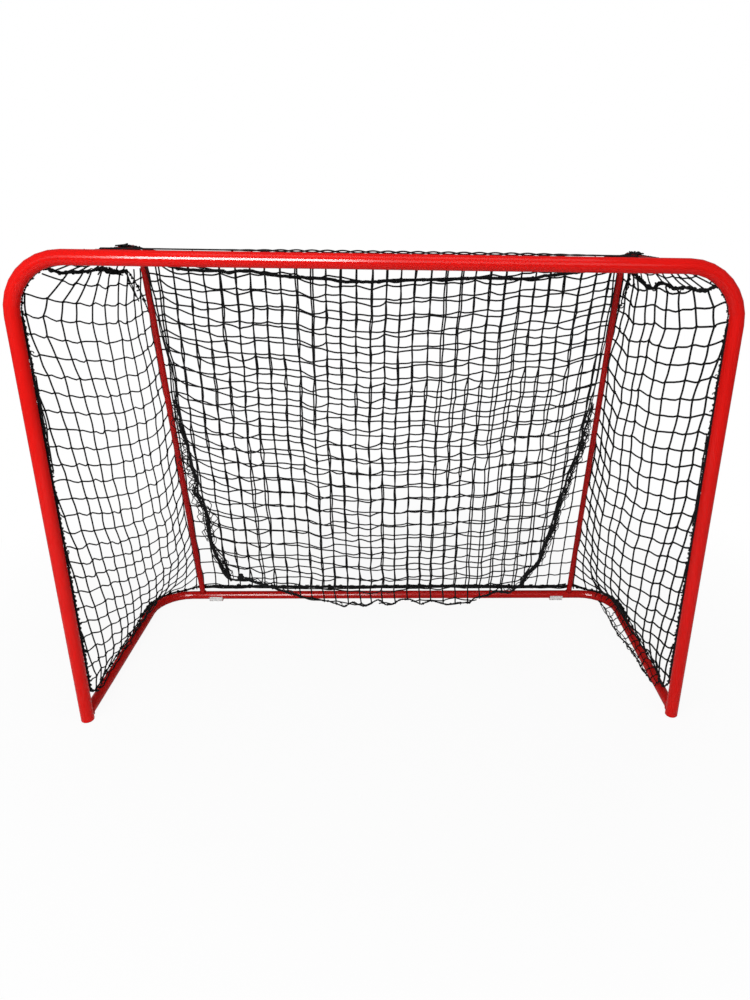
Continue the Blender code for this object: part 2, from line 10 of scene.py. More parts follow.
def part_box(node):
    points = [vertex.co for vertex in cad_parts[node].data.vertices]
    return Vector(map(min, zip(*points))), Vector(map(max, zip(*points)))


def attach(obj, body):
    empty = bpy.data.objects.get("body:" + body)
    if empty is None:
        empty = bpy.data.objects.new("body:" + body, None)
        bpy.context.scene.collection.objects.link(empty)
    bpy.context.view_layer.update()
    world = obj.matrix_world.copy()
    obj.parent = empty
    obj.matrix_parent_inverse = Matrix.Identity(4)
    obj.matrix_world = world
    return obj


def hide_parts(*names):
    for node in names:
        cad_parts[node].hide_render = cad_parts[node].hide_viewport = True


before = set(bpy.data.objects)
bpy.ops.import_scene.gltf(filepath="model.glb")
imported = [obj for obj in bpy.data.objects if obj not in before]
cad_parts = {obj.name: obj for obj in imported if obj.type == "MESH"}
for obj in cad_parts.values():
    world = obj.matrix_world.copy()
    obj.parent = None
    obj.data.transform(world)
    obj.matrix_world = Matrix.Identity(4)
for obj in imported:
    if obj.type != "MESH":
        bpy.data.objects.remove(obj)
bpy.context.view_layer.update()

# Sizes read from the CAD solids, in metres. Y counts back from the front frame's plane
front_low, front_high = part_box("front_frame")
base_low, base_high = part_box("base_frame")
stay_low, stay_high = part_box("right_stay")
FRONT_R = (front_high[1] - front_low[1]) / 2
FRONT_Y = (front_high[1] + front_low[1]) / 2
LEG_X = front_high[0] - FRONT_R
BAR_Z = front_high[2] - FRONT_R
BASE_R = (base_high[2] - base_low[2]) / 2
BASE_Z = base_low[2] + BASE_R
REAR = base_high[1] - BASE_R - FRONT_Y
STAY_R = (stay_high[0] - stay_low[0]) / 2
STAY_X = stay_low[0] + STAY_R

# Sizes of the CAD source that no box tells
CORNER_R = 0.112
BASE_CORNER_R = 0.100
STAY_BEND_R = 0.060
TOP_DEPTH = 0.390

# Radii of the twine and cords
TWINE_R = 0.0016
THICK_TWINE_R = 0.0020
THREAD_R = 0.0015
BINDING_R = 0.0011
EDGE_R = 0.0030
BASE_CORD_R = 0.0035
SEAM_R = 0.0022
DROP_R = 0.0041
DROP_EDGE_R = 0.0024

# How far a net's knots stray, one by one and as whole columns and rows, and how far its strands bow
KNOT_DRIFT = 0.0008
COLUMN_DRIFT = (0.0007, 0.0015, 0.0028)
ROW_DRIFT = (0.0012, 0.0012, 0.0006)
ROW_BOW, COLUMN_BOW = 0.0014, 0.0007
SHORTEST_STRAND = 0.002

# Where the lacing lies on the legs, and the border cord on the base tube's outer shoulder
SHIFT = (0, FRONT_Y, 0)
LEAN = math.atan2(REAR - TOP_DEPTH, BAR_Z - BASE_Z)
EDGE_IN = (FRONT_R + EDGE_R) * math.sin(math.pi / 4)
EDGE_X = LEG_X - EDGE_IN
CORD_OUT = (BASE_R + BASE_CORD_R) * math.sin(math.pi / 4)
CORD_Z = BASE_Z + CORD_OUT

UP = np.array([0, 0, 1.0])
ASKEW = (0.31, 0.17, 0.93)
TINY = 1e-12
SIDES = ((-1, "left"), (1, "right"))


def new_object(name, data):
    obj = bpy.data.objects.new(name, data)
    bpy.context.scene.collection.objects.link(obj)
    return obj


def smooth(value, start=0.0, span=1.0):
    """Eases from 0 to 1 while the value passes over a span from its start."""
    t = np.clip((value - start) / span, 0, 1)
    return t * t * (3 - 2 * t)


def unit(vectors):
    return vectors / (np.linalg.norm(vectors, axis=-1, keepdims=True) + TINY)


def xyz(x, y, z):
    return np.stack(np.broadcast_arrays(x, y, z), -1)


def carried(points):
    """Directions along a curve, and ones across it that are carried along without twist."""
    along = unit(np.gradient(points, axis=0))
    normal = np.cross(along[0], ASKEW)
    across = np.empty_like(points)
    for k, t in enumerate(along):
        normal = unit(normal - t * normal.dot(t))
        across[k] = normal
    return along, across


class Strands:
    """Gathers tubes and knots into one mesh, with UVs that run round and along each tube."""

    def __init__(self, seed):
        self.rng = np.random.default_rng(seed)
        self.points, self.quads, self.uvs, self.count = [], [], [], 0

    def tubes(self, lines, radius, facing, sides=6):
        """Tubes along lines that have as many points each, their rings turned to the facing direction."""
        amount, steps, _ = lines.shape
        along = unit(np.gradient(lines, axis=1))
        across = unit(np.cross(along, facing))
        up = np.cross(across, along)
        turn = 2 * np.pi * np.arange(sides) / sides
        ring = np.cos(turn)[:, None] * across[:, :, None] + np.sin(turn)[:, None] * up[:, :, None]
        radius = np.broadcast_to(radius, (amount, steps))
        self.points.append((lines[:, :, None] + radius[..., None, None] * ring).reshape(-1, 3))
        index = self.count + np.arange(amount * steps * sides).reshape(amount, steps, sides)
        after = np.roll(index, -1, axis=2)
        quads = np.stack([index[:, :-1], after[:, :-1], after[:, 1:], index[:, 1:]], -1)
        self.quads.append(quads.reshape(-1, 4))
        gaps = np.linalg.norm(np.diff(lines, axis=1), axis=2)
        run = np.concatenate([np.zeros((amount, 1)), np.cumsum(gaps, axis=1)], axis=1)
        side = np.arange(sides) / sides
        spans = (run[:, :-1, None], run[:, 1:, None], side, side + 1 / sides)
        start, end, left, right = np.broadcast_arrays(*spans)
        corners = [(left, start), (right, start), (right, end), (left, end)]
        self.uvs.append(np.stack([np.stack(c, -1) for c in corners], -2).reshape(-1, 2))
        self.count += amount * steps * sides

    def line(self, points, radius):
        """One thin tube along a free curve."""
        _, facing = carried(points)
        self.tubes(points[None], radius, facing[None], sides=5)

    def knots(self, centres, size):
        """Small rounded lumps, each up to a third longer than wide and turned by chance."""
        centres = np.reshape(centres, (-1, 3))
        tilt = np.linspace(-np.pi / 2, np.pi / 2, 5)
        profile = size * np.maximum(np.cos(tilt), 0.12)
        direction = unit(self.rng.normal(size=centres.shape))
        length = size * (1 + 0.35 * self.rng.random(len(centres)))
        axis = centres[:, None] + length[:, None, None] * np.sin(tilt)[:, None] * direction[:, None]
        helper = np.where(np.abs(direction[:, 2:]) < 0.8, [[0.0, 0.0, 1.0]], [[1.0, 0.0, 0.0]])
        self.tubes(axis, profile, helper[:, None])

    def make(self, name, material):
        points = np.concatenate(self.points) + SHIFT
        mesh = bpy.data.meshes.new(name)
        mesh.from_pydata(points.tolist(), [], np.concatenate(self.quads).tolist())
        mesh.uv_layers.new(name="lay").data.foreach_set("uv", np.concatenate(self.uvs).ravel())
        mesh.polygons.foreach_set("use_smooth", np.ones(len(mesh.polygons), bool))
        mesh.materials.append(material)
        return new_object(name, mesh)


def resampled(points, step):
    """The same route with points an even distance apart."""
    points = np.asarray(points, float)
    gaps = np.linalg.norm(np.diff(points, axis=0), axis=1)
    run = np.concatenate([[0], np.cumsum(gaps)])
    wanted = np.linspace(0, run[-1], max(3, int(run[-1] / step) + 1))
    return np.stack([np.interp(wanted, run, points[:, k]) for k in range(3)], axis=1)


def rounded(points, step=0.006, passes=3):
    """A route with its corners eased."""
    route = resampled(points, step)
    for _ in range(passes):
        route[1:-1] = (route[:-2] + 2 * route[1:-1] + route[2:]) / 4
    return route


def wander(rng, count, reach, calm):
    """A smooth random drift of count points, about reach metres either way, with calm points to a turn."""
    every = max(2, int(count / calm) + 2)
    spots = rng.normal(size=(every, 3)) * reach
    at = np.linspace(0, every - 1, count)
    low = np.minimum(at.astype(int), every - 2)
    share = smooth(at - low)[:, None]
    return spots[low] * (1 - share) + spots[low + 1] * share


def rope(strands, route, radius, pitch, plies, rough):
    """A laid rope: plies wound round each other along the route."""
    steps = 6
    route = resampled(route, pitch / steps)
    route = route + wander(strands.rng, len(route), rough, 5)
    along, across = carried(route)
    other = np.cross(along, across)
    turn = 2 * np.pi * np.arange(len(route)) / steps
    for ply in range(plies):
        angle = (turn + 2 * np.pi * ply / plies)[:, None]
        offset = 0.52 * radius * (np.cos(angle) * across + np.sin(angle) * other)
        strands.line(route + offset, 0.56 * radius)


def thread(strands, route, radius, reach, calm=5, ease=0.004, passes=1, spread=1.0):
    """One loose strand that strays from a route."""
    loose = route + wander(strands.rng, len(route), reach, calm) * spread
    strands.line(rounded(loose, ease, passes), radius)


def netting(strands, at, columns, rows, inside, kink=0.0007, facing=(0, 1, 0), drift=1.0, thick=TWINE_R):
    """Square knotted netting: at(i, j) places the knots, and inside(points) is above 0 in the panel.

    Its rows dip and rise by the kink between their knots, and facing is square to the panel.
    """
    i, j = np.meshgrid(np.arange(columns + 1.0), np.arange(rows + 1.0), indexing="ij")
    rng = strands.rng
    knots = at(i, j) + rng.normal(size=i.shape + (3,)) * KNOT_DRIFT
    knots = knots + drift * rng.normal(size=(columns + 1, 1, 3)) * COLUMN_DRIFT
    knots = knots + drift * rng.normal(size=(1, rows + 1, 3)) * ROW_DRIFT
    field = inside(knots)
    share = np.array([0, 0.22, 0.5, 0.78, 1])[:, None]
    for axis, bow, swing in ((0, ROW_BOW, kink), (1, COLUMN_BOW, 0)):
        near, far = np.arange(knots.shape[axis] - 1), np.arange(1, knots.shape[axis])
        a, b = (knots.take(ends, axis).reshape(-1, 3) for ends in (near, far))
        fa, fb = (field.take(ends, axis).ravel() for ends in (near, far))
        shown = (fa > 0) | (fb > 0)
        a, b, fa, fb = a[shown], b[shown], fa[shown], fb[shown]
        cut = (fa / np.where(fa == fb, 1, fa - fb))[:, None]
        edge = a + cut * (b - a)
        a = np.where(fa[:, None] > 0, a, edge)
        b = np.where(fb[:, None] > 0, b, edge)
        kept = np.linalg.norm(b - a, axis=1) > SHORTEST_STRAND
        a, b = a[kept], b[kept]
        bend = rng.normal(size=a.shape) * bow
        bend[:, 2] -= bow
        lines = a[:, None] * (1 - share) + b[:, None] * share + bend[:, None] * np.sin(np.pi * share)
        lines[..., 2] += swing * rng.uniform(-0.3, 1.4, (len(a), 1)) * np.sin(2 * np.pi * share[:, 0])
        strands.tubes(lines, thick, facing)
    strands.knots(knots[field > 0], 1.55 * thick)


# Shaders


def filled(node, values):
    for key, value in values.items():
        if hasattr(node, key):
            setattr(node, key, value)
        else:
            node.inputs[key.replace("_", " ")].default_value = value
    return node


def tools(owner, kind, **values):
    """A material's or world's first node, a function that adds a node, and one that links sockets."""
    owner.use_nodes = True
    tree = owner.node_tree

    def add(kind, **values):
        return filled(tree.nodes.new(kind), values)

    return filled(tree.nodes[kind], values), add, tree.links.new


def shader(name, **values):
    material = bpy.data.materials.new(name)
    return material, *tools(material, "Principled BSDF", **values)


def ramp(add, link, source, low, high, start=0.0, end=1.0):
    """Maps a value from start..end to low..high."""
    node = add("ShaderNodeMapRange", From_Min=start, From_Max=end, To_Min=low, To_Max=high)
    link(source, node.inputs["Value"])
    return node.outputs["Result"]


def noise(add, link, place, scale, detail, **values):
    """A noise texture in the object's own space."""
    node = add("ShaderNodeTexNoise", Scale=scale, Detail=detail, **values)
    link(place, node.inputs["Vector"])
    return node.outputs["Fac"]


def mixed(add, link, first, second, share):
    """A colour between the first, which may be a socket, and the second."""
    node = add("ShaderNodeMix", data_type="RGBA")
    if isinstance(first, tuple):
        node.inputs["A"].default_value = (*first, 1)
    else:
        link(first, node.inputs["A"])
    node.inputs["B"].default_value = (*second, 1)
    link(share, node.inputs["Factor"])
    return node.outputs["Result"]


def computed(add, link, *values, operation="MULTIPLY"):
    """A number worked out from sockets and plain numbers."""
    node = add("ShaderNodeMath", operation=operation)
    for socket, value in zip(node.inputs, values):
        if isinstance(value, float):
            socket.default_value = value
        else:
            link(value, socket)
    return node.outputs["Value"]


def bumped(add, link, main, height, strength, distance):
    """Gives a material's surface a relief."""
    node = add("ShaderNodeBump", Strength=strength, Distance=distance)
    link(height, node.inputs["Height"])
    link(node.outputs["Normal"], main.inputs["Normal"])


def enamel(name, colour, worn, roughness):
    """Glossy red enamel on steel tube: slight orange peel, thinner colour and specks of dust."""
    gloss = dict(Specular_IOR_Level=0.12, Coat_Weight=0.07, Coat_Roughness=0.16)
    material, main, add, link = shader(name, **gloss)
    place = add("ShaderNodeTexCoord").outputs["Object"]
    cloudy = noise(add, link, place, 9.0, 5.0)
    specks = noise(add, link, place, 260.0, 4.0)
    paint = mixed(add, link, colour, worn, ramp(add, link, cloudy, 0.0, 1.0, 0.35, 0.75))
    dusty = mixed(add, link, paint, (0.55, 0.30, 0.26), ramp(add, link, specks, 0.0, 0.3, 0.70, 0.84))
    link(dusty, main.inputs["Base Color"])
    uneven = ramp(add, link, cloudy, roughness * 0.92, roughness * 1.12, 0.3, 0.7)
    link(uneven, main.inputs["Roughness"])
    bumped(add, link, main, noise(add, link, place, 420.0, 2.0), 0.0008, 0.0004)
    return material


def twine(name, colour, pitch):
    """Black laid twine: the lay shows as slanting ridges, with fuzz and dust."""
    matt = dict(Roughness=0.78, Specular_IOR_Level=0.12, Sheen_Weight=0.02)
    material, main, add, link = shader(name, **matt)
    uv = add("ShaderNodeUVMap", uv_map="lay")
    split = add("ShaderNodeSeparateXYZ")
    link(uv.outputs["UV"], split.inputs["Vector"])
    x, y, _ = split.outputs
    slant = computed(add, link, y, 1 / pitch, x, operation="MULTIPLY_ADD")
    wave = computed(add, link, slant, 0.5, operation="PINGPONG")
    place = add("ShaderNodeTexCoord").outputs["Object"]
    fuzz = noise(add, link, place, 900.0, 3.0)
    patches = noise(add, link, place, 22.0, 2.0)
    dust = tuple(3.2 * c + 0.002 for c in colour)
    fuzzy = ramp(add, link, fuzz, 0.0, 1.0, 0.4, 0.75)
    patchy = ramp(add, link, patches, 0.1, 1.0, 0.35, 0.7)
    link(mixed(add, link, colour, dust, computed(add, link, fuzzy, patchy)), main.inputs["Base Color"])
    height = computed(add, link, fuzz, 0.35, wave, operation="MULTIPLY_ADD")
    bumped(add, link, main, height, 0.7, 0.0007)
    return material


def plastic(name, colour, dirt, roughness):
    """Moulded plastic with scuffs, and dirt that gathers low down."""
    material, main, add, link = shader(name)
    place = add("ShaderNodeTexCoord").outputs["Object"]
    scuffs = noise(add, link, place, 70.0, 8.0, Roughness=0.7)
    split = add("ShaderNodeSeparateXYZ")
    link(place, split.inputs["Vector"])
    dirty = ramp(add, link, scuffs, 0.0, 0.4, 0.45, 0.75)
    low_down = ramp(add, link, split.outputs["Z"], 1.0, 0.2, 0.0, 0.012)
    link(mixed(add, link, colour, dirt, computed(add, link, dirty, low_down)), main.inputs["Base Color"])
    uneven = ramp(add, link, scuffs, roughness * 0.8, roughness * 1.3, 0.3, 0.7)
    link(uneven, main.inputs["Roughness"])
    bumped(add, link, main, scuffs, 0.15, 0.0005)
    return material


front_red = enamel("front_red", (0.74, 0.007, 0.005), (0.68, 0.006, 0.004), 0.17)
# The base frame gets a darker copy of the front frame's red: painted shade on the base tube, which gets less
# light.
base_red_painted_shade = enamel("base_red_painted_shade", (0.62, 0.009, 0.007), (0.54, 0.008, 0.006), 0.22)
# The stays get a still darker copy of the same red: painted shade, for the weaker light that reaches them
# behind the front frame.
stay_red_painted_shade = enamel("stay_red_painted_shade", (0.55, 0.008, 0.007), (0.40, 0.006, 0.006), 0.28)
weld_red = enamel("weld_red", (0.50, 0.010, 0.008), (0.40, 0.008, 0.008), 0.30)
pad_white = plastic("pad_white_moulded", (0.96, 0.955, 0.945), (0.55, 0.52, 0.47), 0.42)
plug_black = plastic("plug_black_moulded", (0.020, 0.020, 0.021), (0.09, 0.085, 0.08), 0.50)
net_black = twine("net_black", (0.0036, 0.0036, 0.0040), 0.007)
cord_black = twine("cord_black", (0.0042, 0.0042, 0.0046), 0.005)


def painted(node, material):
    """Gives a CAD solid its finish."""
    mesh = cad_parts[node].data
    mesh.materials.clear()
    mesh.materials.append(material)
    mesh.polygons.foreach_set("material_index", [0] * len(mesh.polygons))


painted("front_frame", front_red)
painted("base_frame", base_red_painted_shade)
for _, word in SIDES:
    painted(f"{word}_stay", stay_red_painted_shade)
    painted(f"{word}_leg_plug", plug_black)
    painted(f"{word}_floor_pad", pad_white)
    for joint in ("leg", "bar", "foot"):
        painted(f"{word}_{joint}_weld", weld_red)

# Routes that the nets and cords share. CENTRE is the middle of the base tube's corner bend.
# The side panel starts behind the leg and ends behind the stay
CENTRE_X, CENTRE_Y = LEG_X - BASE_CORNER_R, REAR - BASE_CORNER_R
PANEL_FRONT = 0.02
PANEL_BEHIND = 0.010
PANEL_REAR_X = STAY_X + 0.005
LEAVES_LEG_OVER = 0.117
FLARE_FROM, FLARE_FADE = 0.03, 0.085


def stay_y(z):
    return TOP_DEPTH + (BAR_Z - z) * math.tan(LEAN)


def corner_x(z):
    """How far out the lacing lies at a height, up into the top corner."""
    radius = CORNER_R - EDGE_IN
    rise = np.clip((z - BAR_Z + CORNER_R) / radius, 0, 0.9)
    return LEG_X - CORNER_R + radius * np.sqrt(1 - rise * rise)


def base_path(u):
    """The net's plan line over the base tube, from the leg (0) round the corner to the stay (1)."""
    r = BASE_CORNER_R + CORD_OUT
    straight = CENTRE_Y - PANEL_FRONT
    past_corner = CENTRE_X - STAY_X - 0.006
    s = np.asarray(u) * (straight + r * math.pi / 2 + past_corner)
    turn = np.clip((s - straight) / r, 0, math.pi / 2)
    out = np.where(
        s < straight,
        EDGE_X + np.clip(s / LEAVES_LEG_OVER, 0, 1) * (EDGE_IN + CORD_OUT),
        CENTRE_X + r * np.cos(turn) - np.maximum(s - straight - r * math.pi / 2, 0),
    )
    back = np.where(s < straight, PANEL_FRONT + s, CENTRE_Y + r * np.sin(turn))
    return out, back


def panel_depth(z):
    """How far back the side panel reaches from its front edge, at a height."""
    return stay_y(z) + PANEL_BEHIND - PANEL_FRONT


def panel_length(z):
    """How wide the side panel is at a height, straight from the leg to the stay."""
    return np.hypot(EDGE_X - PANEL_REAR_X, panel_depth(z))


def side_panel(side, u, z):
    """A point of the side panel, u from the leg (0) to the stay (1).

    The panel is straight across, and goes out round the base tube below.
    """
    low = np.exp(-np.clip(z - FLARE_FROM, 0, 1) / FLARE_FADE)
    out, back = base_path(u)
    straight_out = EDGE_X + u * (PANEL_REAR_X - EDGE_X)
    straight_back = PANEL_FRONT + u * panel_depth(z)
    x = straight_out + low * (out - straight_out) + (1 - np.clip(u, 0, 1)) * (corner_x(z) - EDGE_X)
    return xyz(side * x, straight_back + low * (back - straight_back), z)


# Gathered tops of the side panels, from the front corner to the stay
HEM = {
    -1: np.array([
        (-0.6500, 0.020, 1.0440), (-0.6577, 0.043, 1.0426), (-0.6686, 0.098, 1.0339),
        (-0.6669, 0.137, 1.0242), (-0.6598, 0.161, 1.0266), (-0.6530, 0.184, 1.0240),
        (-0.6447, 0.211, 1.0232), (-0.6376, 0.232, 1.0249), (-0.6291, 0.258, 1.0286),
        (-0.6240, 0.277, 1.0213), (-0.6192, 0.293, 1.0172), (-0.6120, 0.317, 1.0160),
        (-0.6062, 0.341, 1.0177),
    ]),
    1: np.array([
        (0.6782, 0.014, 1.0307), (0.6690, 0.024, 1.0267), (0.6706, 0.059, 1.0153),
        (0.6664, 0.111, 1.0111), (0.6583, 0.154, 1.0124), (0.6539, 0.171, 1.0078),
        (0.6476, 0.191, 1.0076), (0.6383, 0.218, 1.0119), (0.6294, 0.241, 1.0162),
        (0.6261, 0.254, 1.0007), (0.6178, 0.278, 1.0005), (0.6069, 0.311, 1.0157),
        (0.6002, 0.333, 1.0276), (0.5953, 0.352, 1.0361),
    ]),
}


def hem_z(side, y):
    """Height of the side panel's gathered top at a depth."""
    return np.interp(y, HEM[side][:, 1], HEM[side][:, 2])


# Side panels. Columns run down from the gathered top, and new ones start at the leg on the way.
# head, high, mid and low are their distances from the stay at four heights, steps those of further ones.
# Rows fall from the leg and rise past the turn, by a first value and a growth per row.
# From the bend up, high passes into head. Lacing starts at foot
SIDE = {
    -1: dict(
        seed=11, top=1.033, fall=(0.045, 0.0042), rise=(0.012, 0.0032), turn=0.83, fold=0.0,
        foot=0.072, bend=(0.957, 0.112), kink=-0.0024, twine=0.0017, doubled=(0.62, 0.84),
        steps=(0.125, 0.040, 0.043, 0.036),
        head=(-0.012, 0.010, 0.036, 0.068, 0.104, 0.143, 0.180, 0.216, 0.252, 0.290),
        high=(0.009, 0.035, 0.069, 0.106, 0.142, 0.186, 0.230, 0.279, 0.327, 0.374),
        mid=(0.006, 0.034, 0.067, 0.111, 0.155, 0.192, 0.235, 0.279, 0.319, 0.359),
        low=(0.014, 0.051, 0.091, 0.130, 0.171, 0.214, 0.259, 0.298, 0.334, 0.369),
    ),
    1: dict(
        seed=23, top=1.030, fall=(0.037, 0.0024), rise=(0.021, 0.0034), turn=0.76, fold=0.005,
        foot=0.083, bend=(0.93, 0.09), kink=0.0014, twine=0.0022, doubled=(0.50, 0.72),
        steps=(0.050, 0.047, 0.043, 0.036),
        head=(0.010, 0.040, 0.072, 0.098, 0.140, 0.176, 0.216, 0.262, 0.310, 0.372),
        high=(0.012, 0.043, 0.075, 0.101, 0.148, 0.184, 0.226, 0.282, 0.332, 0.383),
        mid=(0.000, 0.022, 0.063, 0.103, 0.151, 0.184, 0.231, 0.273, 0.333, 0.384),
        low=(0.012, 0.050, 0.088, 0.124, 0.178, 0.216, 0.263, 0.312, 0.361, 0.416),
    ),
}
SIDE_COLUMNS, SIDE_ROWS, ROWS_ABOVE = 18, 28, 2
ROW_PITCH = 0.0388
LOW_TO_MID, MID_TO_HIGH = (0.45, 0.38), (0.83, 0.08)
MOST_FALL, MOST_RISE = 0.105, 0.068
CUT_Y, CUT_Z, CUT_LENGTH = 0.012, 0.030, 0.065


def side_panel_rules(side):
    """The rules that place the side panel's knots and cut it off at its edges."""
    look = SIDE[side]

    def from_stay(i, row_z):
        tables = [np.interp(i, np.arange(10), look[k]) for k in ("head", "high", "mid", "low")]
        past = np.maximum(i - 9, 0)
        head, high, mid, low = (table + step * past for table, step in zip(tables, look["steps"]))
        away = low + smooth(row_z, *LOW_TO_MID) * (mid - low)
        away = away + smooth(row_z, *MID_TO_HIGH) * (high - mid)
        return away + smooth(row_z, *look["bend"]) * (head - high)

    def at(i, j):
        row = j - ROWS_ABOVE
        row_z = look["top"] - ROW_PITCH * row
        q = 1 - from_stay(i, row_z) / panel_length(row_z)
        count = np.maximum(row, 0)
        fall = np.minimum(look["fall"][0] + look["fall"][1] * count, MOST_FALL)
        rise = np.minimum(look["rise"][0] + look["rise"][1] * count, MOST_RISE)
        dip = 1 - np.maximum(1 - np.maximum(q, -0.3) / look["turn"], 0) ** 1.8
        lift = np.clip((q - look["turn"]) / (1 - look["turn"]), 0, 1) ** 1.2
        z = row_z - fall * dip + rise * lift + look["fold"] * np.exp(-(((q - 0.58) / 0.05) ** 2))
        z = z + (1 - smooth(z, 0.02, 0.25)) * 0.3 * fall * dip
        points = side_panel(side, np.clip(q, -0.2, 1), z)
        wave = 0.003 * np.sin(0.9 * i + 0.3 * j + side) * np.sin(0.25 * j + 0.4 * i)
        points[..., 0] += side * (wave - 0.006 * np.sin(np.pi * np.clip(q, 0, 1)))
        return points

    def inside(points):
        y, z = points[..., 1], points[..., 2]
        edge = y - 0.017
        foot = z - (CORD_Z + 0.004)
        head = hem_z(side, y) - z
        corner = 0.04 * ((y - CUT_Y) / CUT_LENGTH + (z - CUT_Z) / (look["foot"] - CUT_Z) - 1)
        return np.minimum.reduce([edge, corner, foot, head])

    return at, inside


def whole(points):
    return np.ones(points.shape[:-1])


# Roof strip beside each stay: a few columns from the stay and the crossbar out to the side panel's top
STRIP_Y = (0.022, 0.056, 0.096, 0.137, 0.178, 0.218, 0.256, 0.292, 0.325)
STRIP_ROWS = 2


def roof_strip_rule(side):
    def at(i, j):
        y = np.interp(i, np.arange(len(STRIP_Y)), STRIP_Y)
        low_y = y + 0.006
        low = xyz(np.interp(low_y, HEM[side][:, 1], HEM[side][:, 0]), low_y, hem_z(side, low_y))
        high = xyz(side * (STAY_X + STAY_R + 0.001), y, BAR_Z)
        share = (j / STRIP_ROWS)[..., None]
        return high + share * (low - high) - 0.003 * np.sin(np.pi * share) * UP

    return at


NET = (net_black, "net_twine")


def finished(strands, name, body, node, material=cord_black, slot="cord_braid"):
    """Makes a net or cord, which stands for the solid of a node."""
    piece = strands.make(name, material)
    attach(piece, body)
    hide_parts(node)


for side, word in SIDES:
    look = SIDE[side]
    strands = Strands(look["seed"])
    at, inside = side_panel_rules(side)
    netting(strands, at, SIDE_COLUMNS, SIDE_ROWS, inside, look["kink"], (1, 0, 0), thick=look["twine"])
    finished(strands, f"{word}_side_netting", "frame", f"{word}_net", *NET)
    strands = Strands(27 + side)
    at = roof_strip_rule(side)
    netting(strands, at, len(STRIP_Y) - 1, STRIP_ROWS, whole, facing=(0.3, 0.2, 1), drift=0.6)
    finished(strands, f"{word}_roof_strip", "frame", f"{word}_roof_side", *NET)

# Back panel, behind the stays, and roof, which sags between the crossbar and the stays.
# Some of their rows start above the edge that cuts them off
NET_COLUMNS, NET_ROWS = 32, 26
CENTRE_COLUMN = 16
ROWS_OVER = 3
BACK_HALF = STAY_X - 0.002
BEHIND = STAY_R + 0.003
BACK_PITCH = 0.0370
BACK_MIDDLE = 0.0112
COLUMN_LEAN, LEAN_LESS = 0.0163, 0.0004
BACK_LOW = CORD_Z + 0.012
SEAM_Y = TOP_DEPTH - 0.012
SEAM_Z, SEAM_RISE, SEAM_LEVEL_TO = 1.047, 0.019, 0.47


def roof_seam_z(x):
    """Height of the roof's rear seam: level in the middle, and up to the stays at its ends."""
    past = np.clip((np.abs(x) - SEAM_LEVEL_TO) / (STAY_X - SEAM_LEVEL_TO), 0, 1)
    return SEAM_Z + SEAM_RISE * past ** 1.2


# How far the rows rise from the middle (0) to the sides (1), which are this far out
EDGE_HALF = 0.568
BACK_Q = (0, 0.12, 0.36, 0.50, 0.64, 0.77, 0.857, 0.907, 0.945, 1.0)
BACK_LIFT = (0, 0, 0.008, 0.014, 0.019, 0.024, 0.031, 0.038, 0.045, 0.054)


def back_depth(z):
    """How far back the back panel's edges hang at a height, and how much further its middle does."""
    high = np.clip(z - 0.04, 0, 1)
    return stay_y(z) + BEHIND * math.cos(LEAN) - 0.012 * high ** 12, 0.012 * np.sin(np.pi * high)


def back_column(i, z):
    """Where a column of the back panel hangs: they lean a little to the left on the way down."""
    down = np.clip((1.05 - z) / 0.47, 0, 1)
    number = i - CENTRE_COLUMN
    x = BACK_MIDDLE + BACK_PITCH * number - down * (COLUMN_LEAN - LEAN_LESS * number)
    return x * 1.0038 - 0.0048 - 0.0045 * (1 - z)


def back_at(i, j):
    """The rows hang 42.6 mm apart, and a little closer from the twelfth down."""
    row = j - ROWS_OVER
    middle = 0.950 - 0.0426 * np.minimum(row, 11) - 0.0415 * np.maximum(row - 11, 0)
    x = back_column(i, middle)
    q = np.clip(np.abs(x) / EDGE_HALF, 0, 1)
    fade = 1 - 0.75 * smooth(row, 12, 9)
    droop = 0.0024 * np.clip(row, 0, 12) * np.maximum((q - 0.35) / 0.5, 0) ** 1.7
    lift = np.interp(q, BACK_Q, BACK_LIFT) + droop
    z = middle + fade * lift + 0.0050 - 0.0018 * (1 - middle) + 0.0025 * x
    y, slack = back_depth(z)
    return xyz(back_column(i, z), y + slack * (1 - q ** 4), z)


def between_stays(points):
    return BACK_HALF - np.abs(points[..., 0])


def back_inside(points):
    head = roof_seam_z(points[..., 0]) - points[..., 2]
    return np.minimum.reduce([between_stays(points), head, points[..., 2] - BACK_LOW])


strands = Strands(31)
netting(strands, back_at, NET_COLUMNS, NET_ROWS, back_inside, thick=THICK_TWINE_R)
finished(strands, "back_netting", "frame", "back_net", *NET)

ROOF_ROWS = 9
ROOF_FRONT_Y, ROOF_FRONT_Z, ROOF_SAG = 0.010, 1.0765, 0.012


def roof_at(i, j):
    """From just behind the crossbar's top back to the seam, and it sags between them."""
    x = BACK_MIDDLE + BACK_PITCH * (i - CENTRE_COLUMN)
    q = np.clip(np.abs(x) / STAY_X, 0, 1)
    t = j / ROOF_ROWS
    sag = ROOF_SAG * (1 - q ** 6) * np.sin(np.pi * t ** 0.8) * (1 - t ** 8)
    z = ROOF_FRONT_Z + t * (roof_seam_z(x) - ROOF_FRONT_Z) - sag
    return xyz(x, ROOF_FRONT_Y + t * (SEAM_Y - ROOF_FRONT_Y), z)


strands = Strands(37)
netting(strands, roof_at, NET_COLUMNS, ROOF_ROWS, between_stays, 0.0003, (0, 0, 1), drift=0.1)

# Two strands along the crossbar's top, which cross and open into loops in the middle
bar_x = np.linspace(-0.53, 0.50, 300)
opening = 0.0021 * smooth(bar_x, -0.33, 0.2) * smooth(-bar_x, -0.45, 0.2)
swing = np.sin(np.pi * bar_x / 0.031 + 1.1 * np.sin(7 * bar_x))
for sign in (-1, 1):
    height = BAR_Z + FRONT_R + 0.0022 + sign * opening * swing
    strands.line(xyz(bar_x, 0.004 + 0.001 * sign * swing, height), THREAD_R)
finished(strands, "roof_netting", "frame", "top_net", *NET)

